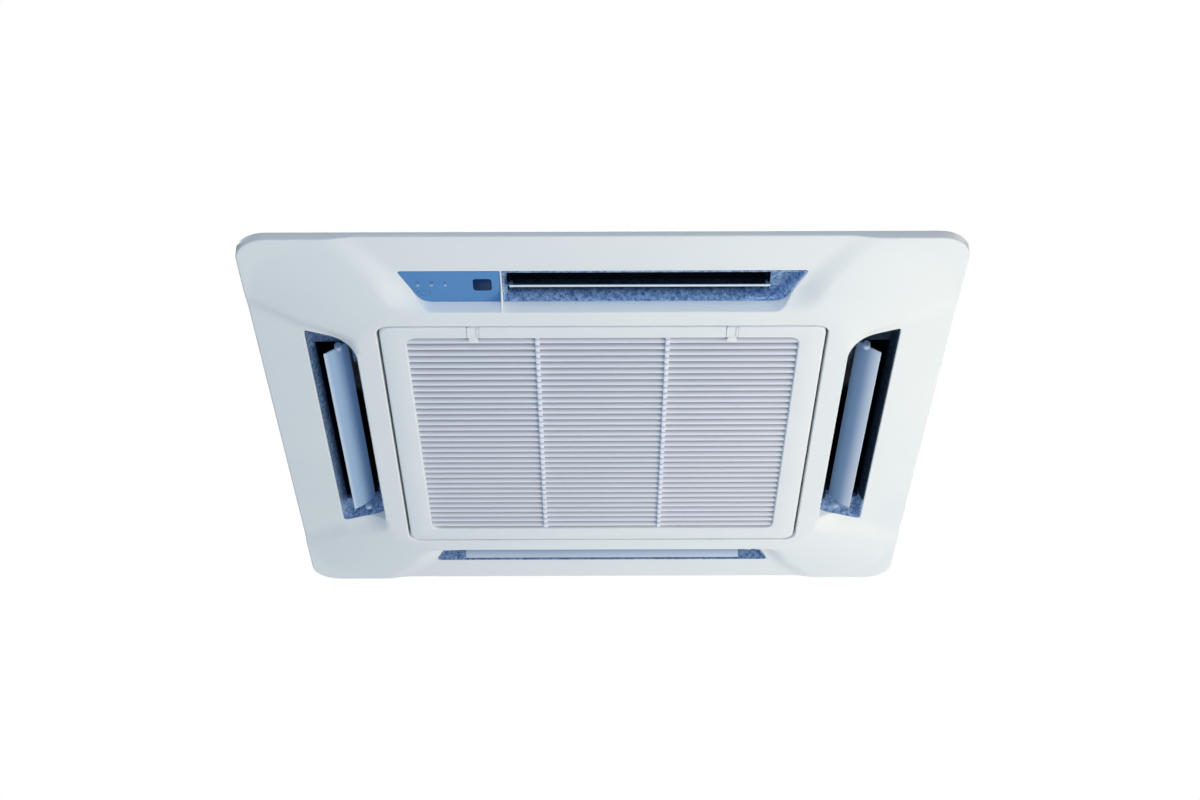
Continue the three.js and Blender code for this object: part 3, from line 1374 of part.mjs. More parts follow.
function facePanel() {
  const unit = new THREE.Group();
  unit.add(
    piece("panel_frame", panelFrame(), FINISH.panelWhite),
    piece("panel_seal", panelSeal(), FINISH.foamDark),
    outletSide("right", 0),
    outletSide("far", 1),
    outletSide("left", 2),
    outletSide("near", 3),
    piece("display_bezel", displayBezel(), FINISH.displayBlue),
    piece("ir_window", irWindow(), FINISH.smokedLens),
    piece("manual_button", manualButton(), FINISH.displayBlue),
    piece("lamp_guide", lampGuide(), FINISH.lampClear),
    piece("display_board", displayBoard(), FINISH.boardGreen),
    piece("return_grille", returnGrille(), FINISH.grilleWhite),
    piece("air_filter", airFilter(), FINISH.filterMesh),
    piece("latch_left", latch(-LATCH_AT), FINISH.panelWhite),
    piece("latch_right", latch(LATCH_AT), FINISH.panelWhite),
    piece("hinge_clip_left", hingeClip(-HINGE_AT), FINISH.plasticWhite),
    piece("hinge_clip_right", hingeClip(HINGE_AT), FINISH.plasticWhite),
  );
  return unit;
}

const airConditioner = new THREE.Group();
airConditioner.add(bodyUnit(), refrigerantSide(), waterSide(), controls(), facePanel());

export default airConditioner;
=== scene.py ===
"""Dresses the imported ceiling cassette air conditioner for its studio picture.

Sizes are in millimetres and become metres when a mesh is made. The origin is the centre of
the panel on the ceiling. Along each side of the panel, s is the distance out from the
centre and t runs sideways, so the +X side has x = s and y = t.
"""

import logging
import math
from collections.abc import Callable, Iterable, Sequence
from dataclasses import dataclass, replace
from enum import Enum

import bmesh
import bpy
import numpy as np
from mathutils import Matrix, Vector
from mathutils.geometry import delaunay_2d_cdt


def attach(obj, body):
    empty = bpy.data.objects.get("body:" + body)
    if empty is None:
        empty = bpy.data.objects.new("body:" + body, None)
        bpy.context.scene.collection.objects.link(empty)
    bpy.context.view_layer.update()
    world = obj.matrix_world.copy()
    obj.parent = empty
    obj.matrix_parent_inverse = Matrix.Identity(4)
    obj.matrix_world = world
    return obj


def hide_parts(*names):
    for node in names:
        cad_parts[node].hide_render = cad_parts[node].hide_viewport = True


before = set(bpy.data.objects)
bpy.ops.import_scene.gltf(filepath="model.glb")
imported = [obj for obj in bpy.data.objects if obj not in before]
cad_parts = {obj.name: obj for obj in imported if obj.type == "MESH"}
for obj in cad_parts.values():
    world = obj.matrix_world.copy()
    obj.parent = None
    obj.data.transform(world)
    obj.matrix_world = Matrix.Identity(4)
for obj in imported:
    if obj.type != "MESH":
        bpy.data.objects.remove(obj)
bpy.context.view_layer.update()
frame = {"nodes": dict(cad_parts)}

LOG = logging.getLogger("cassette")
MM = 0.001
QUARTERS = tuple(quarter * math.pi / 2 for quarter in range(4))

Pair = tuple[float, float]
Triple = tuple[float, float, float]
Spot = tuple[Triple, Triple]
Object = bpy.types.Object
Socket = bpy.types.NodeSocket
Tree = bpy.types.NodeTree


class Side(Enum):
    """The four sides of the panel, in quarter turns from +X."""

    RIGHT = 0
    FAR = 1
    LEFT = 2
    NEAR = 3

    @property
    def label(self) -> str:
        """The side's word in node and piece names."""
        return self.name.lower()

    def turn(self) -> Matrix:
        """Rotation that carries a shape made for the +X side onto this side."""
        return Matrix.Rotation(self.value * math.pi / 2, 4, "Z")


class End(Enum):
    """How an outlet ends: slanted like the moulding, or square at the display divider."""

    SLANTED = "slanted"
    DIVIDER = "divider"


class Pattern(Enum):
    """The surface patterns that a finish can have."""

    MOULDED = "moulded plastic with a fine grain"
    SPECKLED = "speckled foam"
    SPANGLED = "zinc spangle"
    BRUSHED = "drawn or rolled metal"
    FOAM = "closed cell foam"
    WOVEN = "woven mesh"
    BOARD = "printed circuit board"


# ------------------------------------------------------------------------- finishes
def linear(colour: Triple) -> tuple[float, float, float, float]:
    """Turns an 8-bit display colour into Blender's linear colour with full alpha.

    Args:
        colour: red, green and blue from 0 to 255.

    Returns:
        The linear colour.
    """
    parts = [c / 255 for c in colour]
    made = [c / 12.92 if c <= 0.04045 else ((c + 0.055) / 1.055) ** 2.4 for c in parts]
    return (made[0], made[1], made[2], 1.0)


def add_node(
    tree: Tree, kind: str, settings: dict[str, object] | None = None, **inputs: object
) -> bpy.types.Node:
    """Adds a node to a tree.

    Args:
        tree: the tree.
        kind: the node's type.
        settings: values for its properties.
        inputs: a value or a socket for each input, by name with _ for a space, or by
            _0, _1 and so on for its place.

    Returns:
        The node.
    """
    made = tree.nodes.new(kind)
    for name, value in (settings or {}).items():
        setattr(made, name, value)
    for name, value in inputs.items():
        socket = made.inputs[int(name[1:]) if name[0] == "_" else name.replace("_", " ")]
        if isinstance(value, Socket):
            tree.links.new(value, socket)
        else:
            socket.default_value = value
    return made


def calculate(tree: Tree, operation: str, first: object, second: object) -> Socket:
    """Joins two values or sockets with a Math node."""
    made = add_node(tree, "ShaderNodeMath", {"operation": operation}, _0=first, _1=second)
    return made.outputs[0]


def noise(tree: Tree, where: Socket, scale: float, detail: float) -> Socket:
    """Noise from 0 to 1, its scale in features for each metre."""
    made = add_node(tree, "ShaderNodeTexNoise", Vector=where, Scale=scale, Detail=detail)
    return made.outputs["Fac"]


def cells(tree: Tree, where: Socket, scale: float, output: str) -> Socket:
    """A cell texture's Distance or Color, its scale in cells for each metre."""
    return add_node(tree, "ShaderNodeTexVoronoi", Vector=where, Scale=scale).outputs[output]


def threads(tree: Tree, where: Socket, scale: float, direction: str) -> Socket:
    """Height of evenly spaced threads across one direction.

    Args:
        tree: the material's node tree.
        where: the coordinates to read.
        scale: how close the threads lie.
        direction: X or Y.

    Returns:
        The socket with the height.
    """
    made = add_node(
        tree, "ShaderNodeTexWave", {"bands_direction": direction},
        Vector=where, Scale=scale, Distortion=0.0,
    )
    return made.outputs["Fac"]


@dataclass(frozen=True)
class Fade:
    """A painted shade: a change of colour along one axis, from a low place to a high one in
    millimetres.
    """

    axis: str
    low: float
    high: float
    amount: float
    colour: Triple

    def over(self, tree: Tree, where: Socket, colour: Socket) -> Socket:
        """Lays the painted shade over a colour.

        Args:
            tree: the material's node tree.
            where: the coordinates to read.
            colour: the colour without the painted shade.

        Returns:
            The socket with the shaded colour.
        """
        split = add_node(tree, "ShaderNodeSeparateXYZ", _0=where)
        depth = add_node(
            tree, "ShaderNodeMapRange", {"interpolation_type": "SMOOTHSTEP"},
            From_Min=self.low * MM, From_Max=self.high * MM, To_Max=self.amount,
            Value=split.outputs[self.axis],
        )
        mix = add_node(
            tree, "ShaderNodeMix", {"data_type": "RGBA"}, A=colour, B=linear(self.colour),
            Factor=depth.outputs["Result"],
        )
        return mix.outputs["Result"]


@dataclass(frozen=True)
class Finish:
    """One finish: its colours, its pattern, any painted shade and how it takes light."""

    name: str
    slot: str
    colour: Triple
    accent: Triple
    pattern: Pattern = Pattern.MOULDED
    scale: float = 60.0
    roughness: float = 0.45
    metallic: float = 0.0
    relief: float = 0.15
    coat: float = 0.0
    specular: float = 0.3
    fades: tuple[Fade, ...] = ()
    spread: Pair = (0.3, 0.7)

    def material(self) -> bpy.types.Material:
        """Builds the finish's material, once.

        Returns:
            The material.
        """
        title = self.name + "_finish"
        made = bpy.data.materials.get(title)
        if made is not None:
            return made
        made = bpy.data.materials.new(title)
        made.use_nodes = True
        tree = made.node_tree
        tree.nodes.clear()
        where = add_node(tree, "ShaderNodeTexCoord").outputs["Object"]
        colour_by, height_by = self._pattern(tree, where)
        ramp = add_node(tree, "ShaderNodeValToRGB", Fac=colour_by)
        tones = zip(ramp.color_ramp.elements, self.spread, (self.colour, self.accent))
        for stop, position, tone in tones:
            stop.position, stop.color = position, linear(tone)
        colour = ramp.outputs["Color"]
        # lay any painted shade over the finish's own colours
        for painted_shade in self.fades:
            colour = painted_shade.over(tree, where, colour)
        rough = add_node(
            tree, "ShaderNodeMapRange", Value=noise(tree, where, self.scale * 0.35, 3.0),
            To_Min=max(0.03, self.roughness - 0.07), To_Max=min(1.0, self.roughness + 0.09),
        )
        bump = add_node(
            tree, "ShaderNodeBump", Strength=self.relief, Distance=0.0004, Height=height_by
        )
        shader = add_node(
            tree, "ShaderNodeBsdfPrincipled", Base_Color=colour, Metallic=self.metallic,
            Roughness=rough.outputs["Result"], Specular_IOR_Level=self.specular,
            Coat_Weight=self.coat, Coat_Roughness=0.2, Normal=bump.outputs["Normal"],
        )
        add_node(tree, "ShaderNodeOutputMaterial", Surface=shader.outputs["BSDF"])
        return made

    def _pattern(self, tree: Tree, where: Socket) -> tuple[Socket, Socket]:
        """Adds the textures of the finish's pattern.

        Args:
            tree: the material's node tree.
            where: the coordinates to read.

        Returns:
            The socket that mixes the two colours and the one that gives the relief.
        """
        scale = self.scale
        if self.pattern is Pattern.SPECKLED:
            fine, coarse = noise(tree, where, scale, 4.0), noise(tree, where, scale * 0.3, 2.0)
            both = calculate(tree, "ADD", fine, coarse)
            return calculate(tree, "MULTIPLY", both, 0.5), fine
        if self.pattern is Pattern.SPANGLED:
            return cells(tree, where, scale, "Color"), noise(tree, where, scale * 6, 2.0)
        if self.pattern is Pattern.BRUSHED:
            along = add_node(tree, "ShaderNodeMapping", Vector=where, Scale=(1.0, 1.0, 14.0))
            lines = noise(tree, along.outputs["Vector"], scale, 4.0)
            return lines, lines
        if self.pattern is Pattern.FOAM:
            return noise(tree, where, scale, 3.0), cells(tree, where, scale * 8, "Distance")
        if self.pattern is Pattern.WOVEN:
            ways = [threads(tree, where, scale, direction) for direction in ("X", "Y")]
            woven = calculate(tree, "MAXIMUM", *ways)
            return woven, woven
        if self.pattern is Pattern.BOARD:
            return cells(tree, where, scale, "Color"), noise(tree, where, scale * 4, 1.0)
        return noise(tree, where, scale * 0.1, 3.0), noise(tree, where, 1400.0, 2.0)


def brushed(
    name: str, colour: Triple, accent: Triple, scale: float, roughness: float,
    metallic: float, relief: float,
) -> Finish:
    """A finish of drawn or rolled metal."""
    return Finish(name, name, colour, accent, Pattern.BRUSHED, scale, roughness, metallic, relief)


PANEL_WHITE = Finish("panel_white", "panel_white", (236, 240, 242), (240, 243, 244))
GRILLE_WHITE = Finish("grille_white", "grille_white", (235, 239, 242), (239, 242, 244))
# Painted shade: the slats and bars darken towards their tops, for the shade in the grooves
# between slats and between the bars' studs.
SLAT_WHITE = Finish(
    "slat_white", "grille_white", (238, 241, 252), (242, 245, 254),
    fades=(Fade("Z", -30.0, -23.0, 0.66, (66, 72, 96)),),
)
# Painted shade: the blades turn bluer and darker towards their tops, deeper in the throat.
LOUVER_WHITE = Finish(
    "louver_white", "louver_white", (206, 217, 234), (212, 223, 238), roughness=0.6,
    specular=0.1, fades=(Fade("Z", -21.5, -9.0, 0.92, (116, 150, 192)),),
)
# A copy of the blade finish for the left outlet with stronger painted shade, bluer and darker up
# the blade.
LOUVER_SHADED = replace(
    LOUVER_WHITE, name="louver_cool",
    fades=(
        Fade("Z", -21.5, -17.5, 0.62, (118, 163, 208)),
        Fade("Z", -16.0, 0.0, 0.6, (90, 130, 180)),
    ),
)
# A lighter copy of the blade finish for the near outlet, which faces the front lamp: painted
# light.
LOUVER_LIT = replace(
    LOUVER_WHITE, name="louver_bright", colour=(236, 247, 254), accent=(240, 250, 255)
)
# Painted shade: the outlet trays darken upwards into the throat, where little light reaches.
THROAT_SHADE = Fade("Z", -3.0, 9.0, 0.93, (12, 18, 32))
OUTLET_BLUE = Finish(
    "outlet_blue", "outlet_blue", (68, 99, 150), (160, 190, 228), Pattern.SPECKLED,
    scale=620.0, roughness=0.9, relief=0.5, specular=0.0, spread=(0.38, 0.62),
    fades=(THROAT_SHADE,),
)
# Painted shade: the right tray goes dark over all but its far end, for walls that face away from
# the key lamp.
OUTLET_SHADED = replace(
    OUTLET_BLUE, name="outlet_shaded",
    fades=(THROAT_SHADE, Fade("Y", 214.0, 204.0, 0.92, (12, 21, 32))),
)
# Painted shade: the left tray goes partly dark and navy over all but its far end.
OUTLET_PART_SHADED = replace(
    OUTLET_BLUE, name="outlet_cool",
    fades=(THROAT_SHADE, Fade("Y", 214.0, 204.0, 0.45, (16, 42, 74))),
)
# A lighter copy of the tray finish for the near outlet, which faces the camera and the front
# lamp: painted light, keeping the throat's painted shade.
OUTLET_LIT = replace(
    OUTLET_BLUE, name="outlet_bright", colour=(78, 114, 172), accent=(176, 208, 246)
)
# Lit and shaded copies of the blade and tray finishes for each side: painted light and shade for
# how the lamps fall on each outlet.
SIDE_SHADING = {
    Side.RIGHT: (LOUVER_WHITE, OUTLET_SHADED), Side.FAR: (LOUVER_WHITE, OUTLET_BLUE),
    Side.LEFT: (LOUVER_SHADED, OUTLET_PART_SHADED), Side.NEAR: (LOUVER_LIT, OUTLET_LIT),
}
DISPLAY_BLUE = Finish(
    "display_blue", "display_blue", (96, 145, 202), (102, 151, 206), roughness=0.7,
    specular=0.0,
)
SMOKED_LENS = Finish(
    "smoked_lens", "smoked_lens", (8, 38, 80), (14, 46, 90), roughness=0.25, relief=0.02,
    specular=0.08,
)
LAMP_CLEAR = Finish(
    "lamp_clear", "lamp_clear", (150, 182, 214), (160, 190, 220), roughness=0.2,
    relief=0.02, coat=0.4,
)
PRINT_BLUE = Finish("print_blue", "display_blue", (44, 74, 120), (50, 80, 126))
GALVANIZED = Finish(
    "galvanized", "galvanized", (176, 180, 183), (193, 197, 200), Pattern.SPANGLED,
    scale=150.0, metallic=0.8, relief=0.06, spread=(0.0, 1.0),
)
STEEL = brushed("steel", (140, 143, 147), (160, 163, 167), 50.0, 0.36, 0.9, 0.1)
MOTOR_CAN = brushed("motor_can", (150, 154, 158), (170, 174, 178), 60.0, 0.4, 0.85, 0.08)
COPPER = brushed("copper", (176, 102, 66), (198, 124, 84), 30.0, 0.34, 0.95, 0.06)
BRASS = brushed("brass", (190, 156, 84), (206, 174, 104), 60.0, 0.32, 0.9, 0.06)
ALUMINIUM_FINS = brushed(
    "aluminium_fins", (170, 176, 180), (190, 195, 199), 80.0, 0.5, 0.8, 0.2
)
# Painted shade: the white foam liner goes dark below its top, for the unlit inside of the body.
FOAM_WHITE = Finish(
    "foam_white", "foam_white", (232, 236, 238), (240, 243, 244), Pattern.FOAM,
    scale=40.0, roughness=0.9, relief=0.4, specular=0.0,
    fades=(Fade("Z", 245.0, 225.0, 0.96, (14, 18, 26)),),
)
# Dark foam of the seal and the drain pan, its own dark colour made darker still so the pan seen
# through the outlets stands for their shade: partly painted shade.
FOAM_DARK = Finish(
    "foam_dark", "foam_dark", (30, 33, 38), (40, 44, 50), Pattern.FOAM,
    scale=40.0, roughness=0.92, relief=0.4, specular=0.0,
)
FAN_GREY = Finish("fan_grey", "fan_grey", (134, 140, 146), (144, 150, 156))
PLASTIC_BLACK = Finish("plastic_black", "plastic_black", (30, 32, 35), (38, 40, 44))
PLASTIC_WHITE = Finish("plastic_white", "plastic_white", (226, 229, 228), (233, 235, 234))
RUBBER = Finish(
    "rubber", "rubber", (36, 36, 38), (46, 46, 48), Pattern.FOAM,
    scale=20.0, roughness=0.85, relief=0.1,
)
BOARD_GREEN = Finish(
    "board_green", "board_green", (38, 96, 60), (54, 120, 78), Pattern.BOARD,
    scale=260.0, roughness=0.5, relief=0.1,
)
FILTER_MESH = Finish(
    "filter_mesh", "filter_mesh", (48, 56, 70), (116, 128, 146), Pattern.WOVEN,
    scale=260.0, roughness=0.8, relief=0.6,
)


# ---------------------------------------------------------------------- mesh helpers
def circle(radius: float, steps: int, x: float = 0.0, y: float = 0.0) -> list[Pair]:
    """Points evenly round a circle about (x, y)."""
    angles = [2 * math.pi * k / steps for k in range(steps)]
    return [(x + radius * math.cos(a), y + radius * math.sin(a)) for a in angles]


def turned_spot(x: float, y: float, turn: float) -> Pair:
    """A place carried round the origin by a turn in radians."""
    cos, sin = math.cos(turn), math.sin(turn)
    return x * cos - y * sin, x * sin + y * cos


class Shell:
    """A mesh in the making, in millimetres: rings of points joined by faces."""

    def __init__(self) -> None:
        """Starts an empty mesh."""
        self.points: list[Triple] = []
        self.faces: list[tuple[int, ...]] = []

    def ring(self, points: Iterable[Triple]) -> list[int]:
        """Adds points.

        Args:
            points: the places of the points.

        Returns:
            Their numbers in the mesh.
        """
        start = len(self.points)
        self.points.extend((float(x), float(y), float(z)) for x, y, z in points)
        return list(range(start, len(self.points)))

    def bridge(self, first: Sequence[int], second: Sequence[int]) -> None:
        """Joins two closed rings of equal length with a band of faces.

        Args:
            first: the first ring's point numbers.
            second: the second ring's point numbers.
        """
        count = len(first)
        for i in range(count):
            j = (i + 1) % count
            self.faces.append((first[i], first[j], second[j], second[i]))

    def loft(self, rings: Sequence[Sequence[Triple]], closed: bool = False) -> None:
        """Sweeps a surface through rings of equal length.

        Args:
            rings: the rings in order.
            closed: join the last ring to the first in place of capping both ends.
        """
        made = [self.ring(points) for points in rings]
        for first, second in zip(made, made[1:]):
            self.bridge(first, second)
        if closed:
            self.bridge(made[-1], made[0])
        else:
            self.faces += [tuple(reversed(made[0])), tuple(made[-1])]

    def prism(self, outline: Sequence[Pair], z0: float, z1: float) -> None:
        """Raises a flat outline from z0 to z1."""
        self.loft([[(x, y, z) for x, y in outline] for z in (z0, z1)])

    def block(self, x0: float, x1: float, y0: float, y1: float, z0: float, z1: float) -> None:
        """Adds a box between two corners."""
        self.prism([(x0, y0), (x1, y0), (x1, y1), (x0, y1)], z0, z1)

    def revolve(self, profile: Sequence[Pair], steps: int) -> None:
        """Turns a closed section about the Z axis.

        Args:
            profile: the (radius, height) places of the section.
            steps: how many copies of the section go round.
        """
        turns = [2 * math.pi * i / steps for i in range(steps)]
        rings = [[(r * math.cos(a), r * math.sin(a), z) for r, z in profile] for a in turns]
        self.loft(rings, closed=True)

    def bar(self, line: Sequence[Triple], radius: float, sides: int = 20) -> None:
        """Adds a straight round bar.

        Args:
            line: places along the bar, each with a ring of points.
            radius: its radius.
            sides: points in each ring.
        """
        places = [Vector(place) for place in line]
        tangent = (places[-1] - places[0]).normalized()
        normal = tangent.orthogonal().normalized()
        across = tangent.cross(normal)
        spots = circle(radius, sides)
        self.loft([[tuple(at + u * normal + v * across) for u, v in spots] for at in places])

    def turned(self, matrix: Matrix) -> "Shell":
        """Makes a moved copy.

        Args:
            matrix: the movement, in millimetres.

        Returns:
            The copy.
        """
        copy = Shell()
        copy.points = [tuple(matrix @ Vector(p)) for p in self.points]
        copy.faces = list(self.faces)
        return copy

    def add(self, other: "Shell") -> None:
        """Takes in another mesh as a separate shell.

        Args:
            other: the mesh to take in.
        """
        start = len(self.points)
        self.points.extend(other.points)
        self.faces.extend(tuple(i + start for i in face) for face in other.faces)


def object_from(name: str, shell: Shell, soften: float = 0.0, angle: float = 35.0) -> Object:
    """Makes a Blender object from a mesh in the making.

    Args:
        name: the piece's name.
        shell: its points and faces.
        soften: width of the rounding on sharp edges, or 0 for none.
        angle: edges bent more than this many degrees count as sharp.

    Returns:
        The object, at the origin, with smooth shading between its sharp edges.
    """
    mesh = bpy.data.meshes.new(name)
    mesh.from_pydata([tuple(c * MM for c in p) for p in shell.points], [], shell.faces)
    work = bmesh.new()
    work.from_mesh(mesh)
    bmesh.ops.remove_doubles(work, verts=work.verts, dist=1e-6)
    bmesh.ops.recalc_face_normals(work, faces=work.faces)
    if soften > 0:
        limit = math.radians(angle)
        sharp = [e for e in work.edges if e.is_manifold and e.calc_face_angle(0) > limit]
        bmesh.ops.bevel(
            work, geom=sharp, offset=soften * MM, offset_type="OFFSET", segments=2,
            profile=0.5, affect="EDGES", clamp_overlap=True,
        )
    work.to_mesh(mesh)
    work.free()
    made = bpy.data.objects.new(name, mesh)
    bpy.context.scene.collection.objects.link(made)
    smooth(made, angle if soften <= 0 else 50.0)
    return made


def smooth(target: Object, angle: float) -> None:
    """Shades an object smooth except across its sharp edges.

    Args:
        target: the object.
        angle: edges bent more than this many degrees stay sharp.
    """
    mesh = target.data
    mesh.polygons.foreach_set("use_smooth", [True] * len(mesh.polygons))
    mesh.set_sharp_from_angle(angle=math.radians(angle))
    mesh.update()


def baked(target: Object, angle: float = 35.0) -> Object:
    """Turns an object with modifiers into a plain mesh.

    Args:
        target: the object whose modifiers are evaluated and removed.
        angle: edges bent more than this many degrees stay sharp.

    Returns:
        The same object with the finished mesh.
    """
    graph = bpy.context.evaluated_depsgraph_get()
    mesh = bpy.data.meshes.new_from_object(target.evaluated_get(graph))
    target.modifiers.clear()
    target.data = mesh
    smooth(target, angle)
    return target


def carve(target: Object, cutters: Sequence[Shell]) -> None:
    """Cuts shapes out of an object.

    Args:
        target: the object to cut.
        cutters: the shapes to take away, each made of shells that are clear of each other.
    """
    tools = [object_from(target.name + "_cutter", cutter) for cutter in cutters]
    for tool in tools:
        cut = target.modifiers.new("cut", "BOOLEAN")
        cut.operation = "DIFFERENCE"
        cut.solver = "EXACT"
        cut.object = tool
    baked(target)
    for tool in tools:
        bpy.data.objects.remove(tool)


def place(target: Object, finish: Finish, body: str, replaces: Sequence[str] = ()) -> None:
    """Gives a finished piece its material, its body and the nodes that it stands for.

    Args:
        target: the piece.
        finish: the finish of its whole surface.
        body: the CAD body that it moves with.
        replaces: CAD nodes that it is shown in place of.
    """
    target.data.materials.clear()
    target.data.materials.append(finish.material())
    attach(target, body)
    if replaces:
        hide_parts(*replaces)
    LOG.info("%s: %d faces on %s", target.name, len(target.data.polygons), body)


def dress(node: str, finish: Finish, soften: float = 0.0) -> None:
    """Gives a CAD node that stays its material, merged corners and softened edges.

    Args:
        node: the CAD node's name.
        finish: its finish.
        soften: width of the rounding on its sharp edges, or 0 for none.
    """
    target = frame["nodes"][node]
    target.data.materials.clear()
    target.data.materials.append(finish.material())
    target.data.polygons.foreach_set("use_smooth", [True] * len(target.data.polygons))
    weld = target.modifiers.new("weld", "WELD")
    weld.merge_threshold = 2e-6
    if soften > 0:
        ease = target.modifiers.new("ease", "BEVEL")
        ease.width = soften * MM
        ease.segments = 2
        ease.limit_method = "ANGLE"
        ease.angle_limit = math.radians(40)
        ease.harden_normals = True
    else:
        split = target.modifiers.new("split", "EDGE_SPLIT")
        split.split_angle = math.radians(38)
        split.use_edge_sharp = False


def rounded(
    corners: Sequence[Triple], steps: int = 8, splits: Sequence[int] | None = None
) -> list[Pair]:
    """An outline whose corners are rounded, each by its own radius.

    Args:
        corners: (x, y, radius) in order.
        steps: faces across each rounded corner.
        splits: how many parts each straight run is cut into, from each corner on.

    Returns:
        The outline's points.
    """
    count = len(corners)
    spots = [Vector((x, y)) for x, y, _ in corners]
    outline: list[Vector] = []
    for i, (spot, (_, _, radius)) in enumerate(zip(spots, corners)):
        after = (i + 1) % count
        entry = spot + (spots[i - 1] - spot).normalized() * radius
        leave = spot + (spots[after] - spot).normalized() * radius
        for k in range(steps + 1):
            q = k / steps
            outline.append(entry * (1 - q) ** 2 + spot * (2 * q * (1 - q)) + leave * q * q)
        ahead = spots[after] + (spot - spots[after]).normalized() * corners[after][2]
        parts = splits[i] if splits else 1
        outline.extend(leave.lerp(ahead, k / parts) for k in range(1, parts))
    return [(p.x, p.y) for p in outline]


def rounded_box(
    x: float, y: float, width: float, height: float, radius: float,
    steps: int = 8, split: int = 1,
) -> list[Pair]:
    """A rounded rectangle.

    Args:
        x: its middle along X.
        y: its middle along Y.
        width: its size along X.
        height: its size along Y.
        radius: its corner radius.
        steps: faces across each corner.
        split: parts that each straight side is cut into.

    Returns:
        The outline's points.
    """
    w, h = width / 2, height / 2
    corners = [(x - w, y - h), (x + w, y - h), (x + w, y + h), (x - w, y + h)]
    return rounded([(*c, radius) for c in corners], steps, [split] * 4)


def square_loop(half: float, radius: float, steps: int, split: int) -> list[Pair]:
    """A square about the origin with circular corners.

    Args:
        half: half its width.
        radius: its corner radius.
        steps: faces across each corner.
        split: parts that each straight side is cut into.

    Returns:
        The outline's points.
    """
    straight = half - radius
    arc = [k / steps * math.pi / 2 for k in range(steps)]
    side = [(half, -straight + 2 * straight * k / split) for k in range(split)]
    side += [(straight + radius * math.cos(a), straight + radius * math.sin(a)) for a in arc]
    return [turned_spot(u, v, side_turn) for side_turn in QUARTERS for u, v in side]


def chamfered_square(half: float, chamfer: float, inset: float) -> list[Pair]:
    """A square with its corners cut at 45 degrees.

    Args:
        half: half its width.
        chamfer: how much of each side the cut takes.
        inset: how far the outline is drawn in.

    Returns:
        The outline's points.
    """
    edge = half - inset
    straight = edge - chamfer + inset * (2 - math.sqrt(2))
    return [
        (edge, -straight), (edge, straight), (straight, edge), (-straight, edge),
        (-edge, straight), (-edge, -straight), (-straight, -edge), (straight, -edge),
    ]


def inside(outline: Sequence[Pair], points: np.ndarray) -> np.ndarray:
    """Tells which points lie inside a closed outline.

    Args:
        outline: the outline.
        points: rows of x and y.

    Returns:
        True for each point inside.
    """
    x, y = points[:, 0], points[:, 1]
    found = np.zeros(len(points), bool)
    ring = np.array(outline)
    for (x0, y0), (x1, y1) in zip(ring, np.roll(ring, -1, axis=0)):
        if y0 != y1:
            crosses = (y0 > y) != (y1 > y)
            found ^= crosses & (x < (x1 - x0) * (y - y0) / (y1 - y0) + x0)
    return found


# ------------------------------------------------------------------- moulded sheets
ROLL_STEPS = (0, 0.08, 0.28, 0.6, 1)


@dataclass(frozen=True)
class Border:
    """One edge of a moulded sheet.

    outline gives the edge moved into the material by a distance, roll is the radius of
    its rounding, walls are (distance, height) rings behind the edge, and margin is the
    distance at which the back of the sheet begins.
    """

    outline: Callable[[float], list[Pair]]
    roll: float
    margin: float
    walls: tuple[Pair, ...]
    outer: bool = False

    def keeps(self, distance: float, points: np.ndarray) -> np.ndarray:
        """Tells which points lie on the material's side of the edge moved in."""
        found = inside(self.outline(distance), points)
        return found if self.outer else ~found


def moulded_sheet(
    borders: Sequence[Border],
    height: Callable[[np.ndarray, np.ndarray], np.ndarray],
    wall: float,
    spacing: float,
) -> Shell:
    """Builds a closed moulded sheet with rounded edges, holes and walls behind them.

    Args:
        borders: the outer edge and the holes.
        height: height of the front at (x, y).
        wall: the sheet's thickness, up from the front.
        spacing: distance between the points that carry the front's shape.

    Returns:
        The closed mesh.
    """
    spots: list[Pair] = []
    lift: list[float] = []
    edges: list[tuple[int, int]] = []
    loops: list[list[list[int]]] = []
    for border in borders:
        roll = border.roll
        distances = [roll * part for part in ROLL_STEPS] + [border.margin]
        rings = []
        for distance in distances:
            outline = border.outline(distance)
            start = len(spots)
            spots += outline
            rise = roll - math.sqrt(max(0.0, roll**2 - max(0.0, roll - distance) ** 2))
            lift += [rise] * len(outline)
            ring = list(range(start, len(spots)))
            edges += list(zip(ring, ring[1:] + ring[:1]))
            rings.append(ring)
        loops.append(rings)
    reach = max(abs(c) for spot in spots for c in spot)
    steps = np.arange(-reach, reach, spacing) + spacing / 3
    grid = np.array([(x, y) for x in steps for y in steps])
    kept = np.ones(len(grid), bool)
    for border in borders:
        kept &= border.keeps(border.margin + spacing * 0.6, grid)
    spots += [tuple(p) for p in grid[kept]]
    lift += [0.0] * int(kept.sum())
    found = delaunay_2d_cdt([Vector(p) for p in spots], edges, [], 0, 1e-4)
    places, triangles = np.array([tuple(p) for p in found[0]]), np.array(found[2])
    output_of = {source: i for i, sources in enumerate(found[3]) for source in sources}
    raised = [max((lift[i] for i in sources), default=0.0) for sources in found[3]]
    z = height(places[:, 0], places[:, 1])
    middles = places[triangles].mean(axis=1)
    front, back = np.ones(len(triangles), bool), np.ones(len(triangles), bool)
    for border in borders:
        front &= border.keeps(0.0, middles)
        back &= border.keeps(border.margin, middles)
    shell = Shell()
    lower = shell.ring((x, y, h) for (x, y), h in zip(places, z + np.array(raised)))
    upper = shell.ring((x, y, h) for (x, y), h in zip(places, z + wall))
    shell.faces += [tuple(lower[i] for i in t) for t in triangles[front]]
    shell.faces += [tuple(upper[i] for i in reversed(t)) for t in triangles[back]]
    for border, rings in zip(borders, loops):
        first = [lower[output_of[i]] for i in rings[0]]
        for distance, level in border.walls:
            ring = shell.ring((x, y, level) for x, y in border.outline(distance))
            shell.bridge(first, ring)
            first = ring
        shell.bridge(first, [upper[output_of[i]] for i in rings[-1]])
    return shell


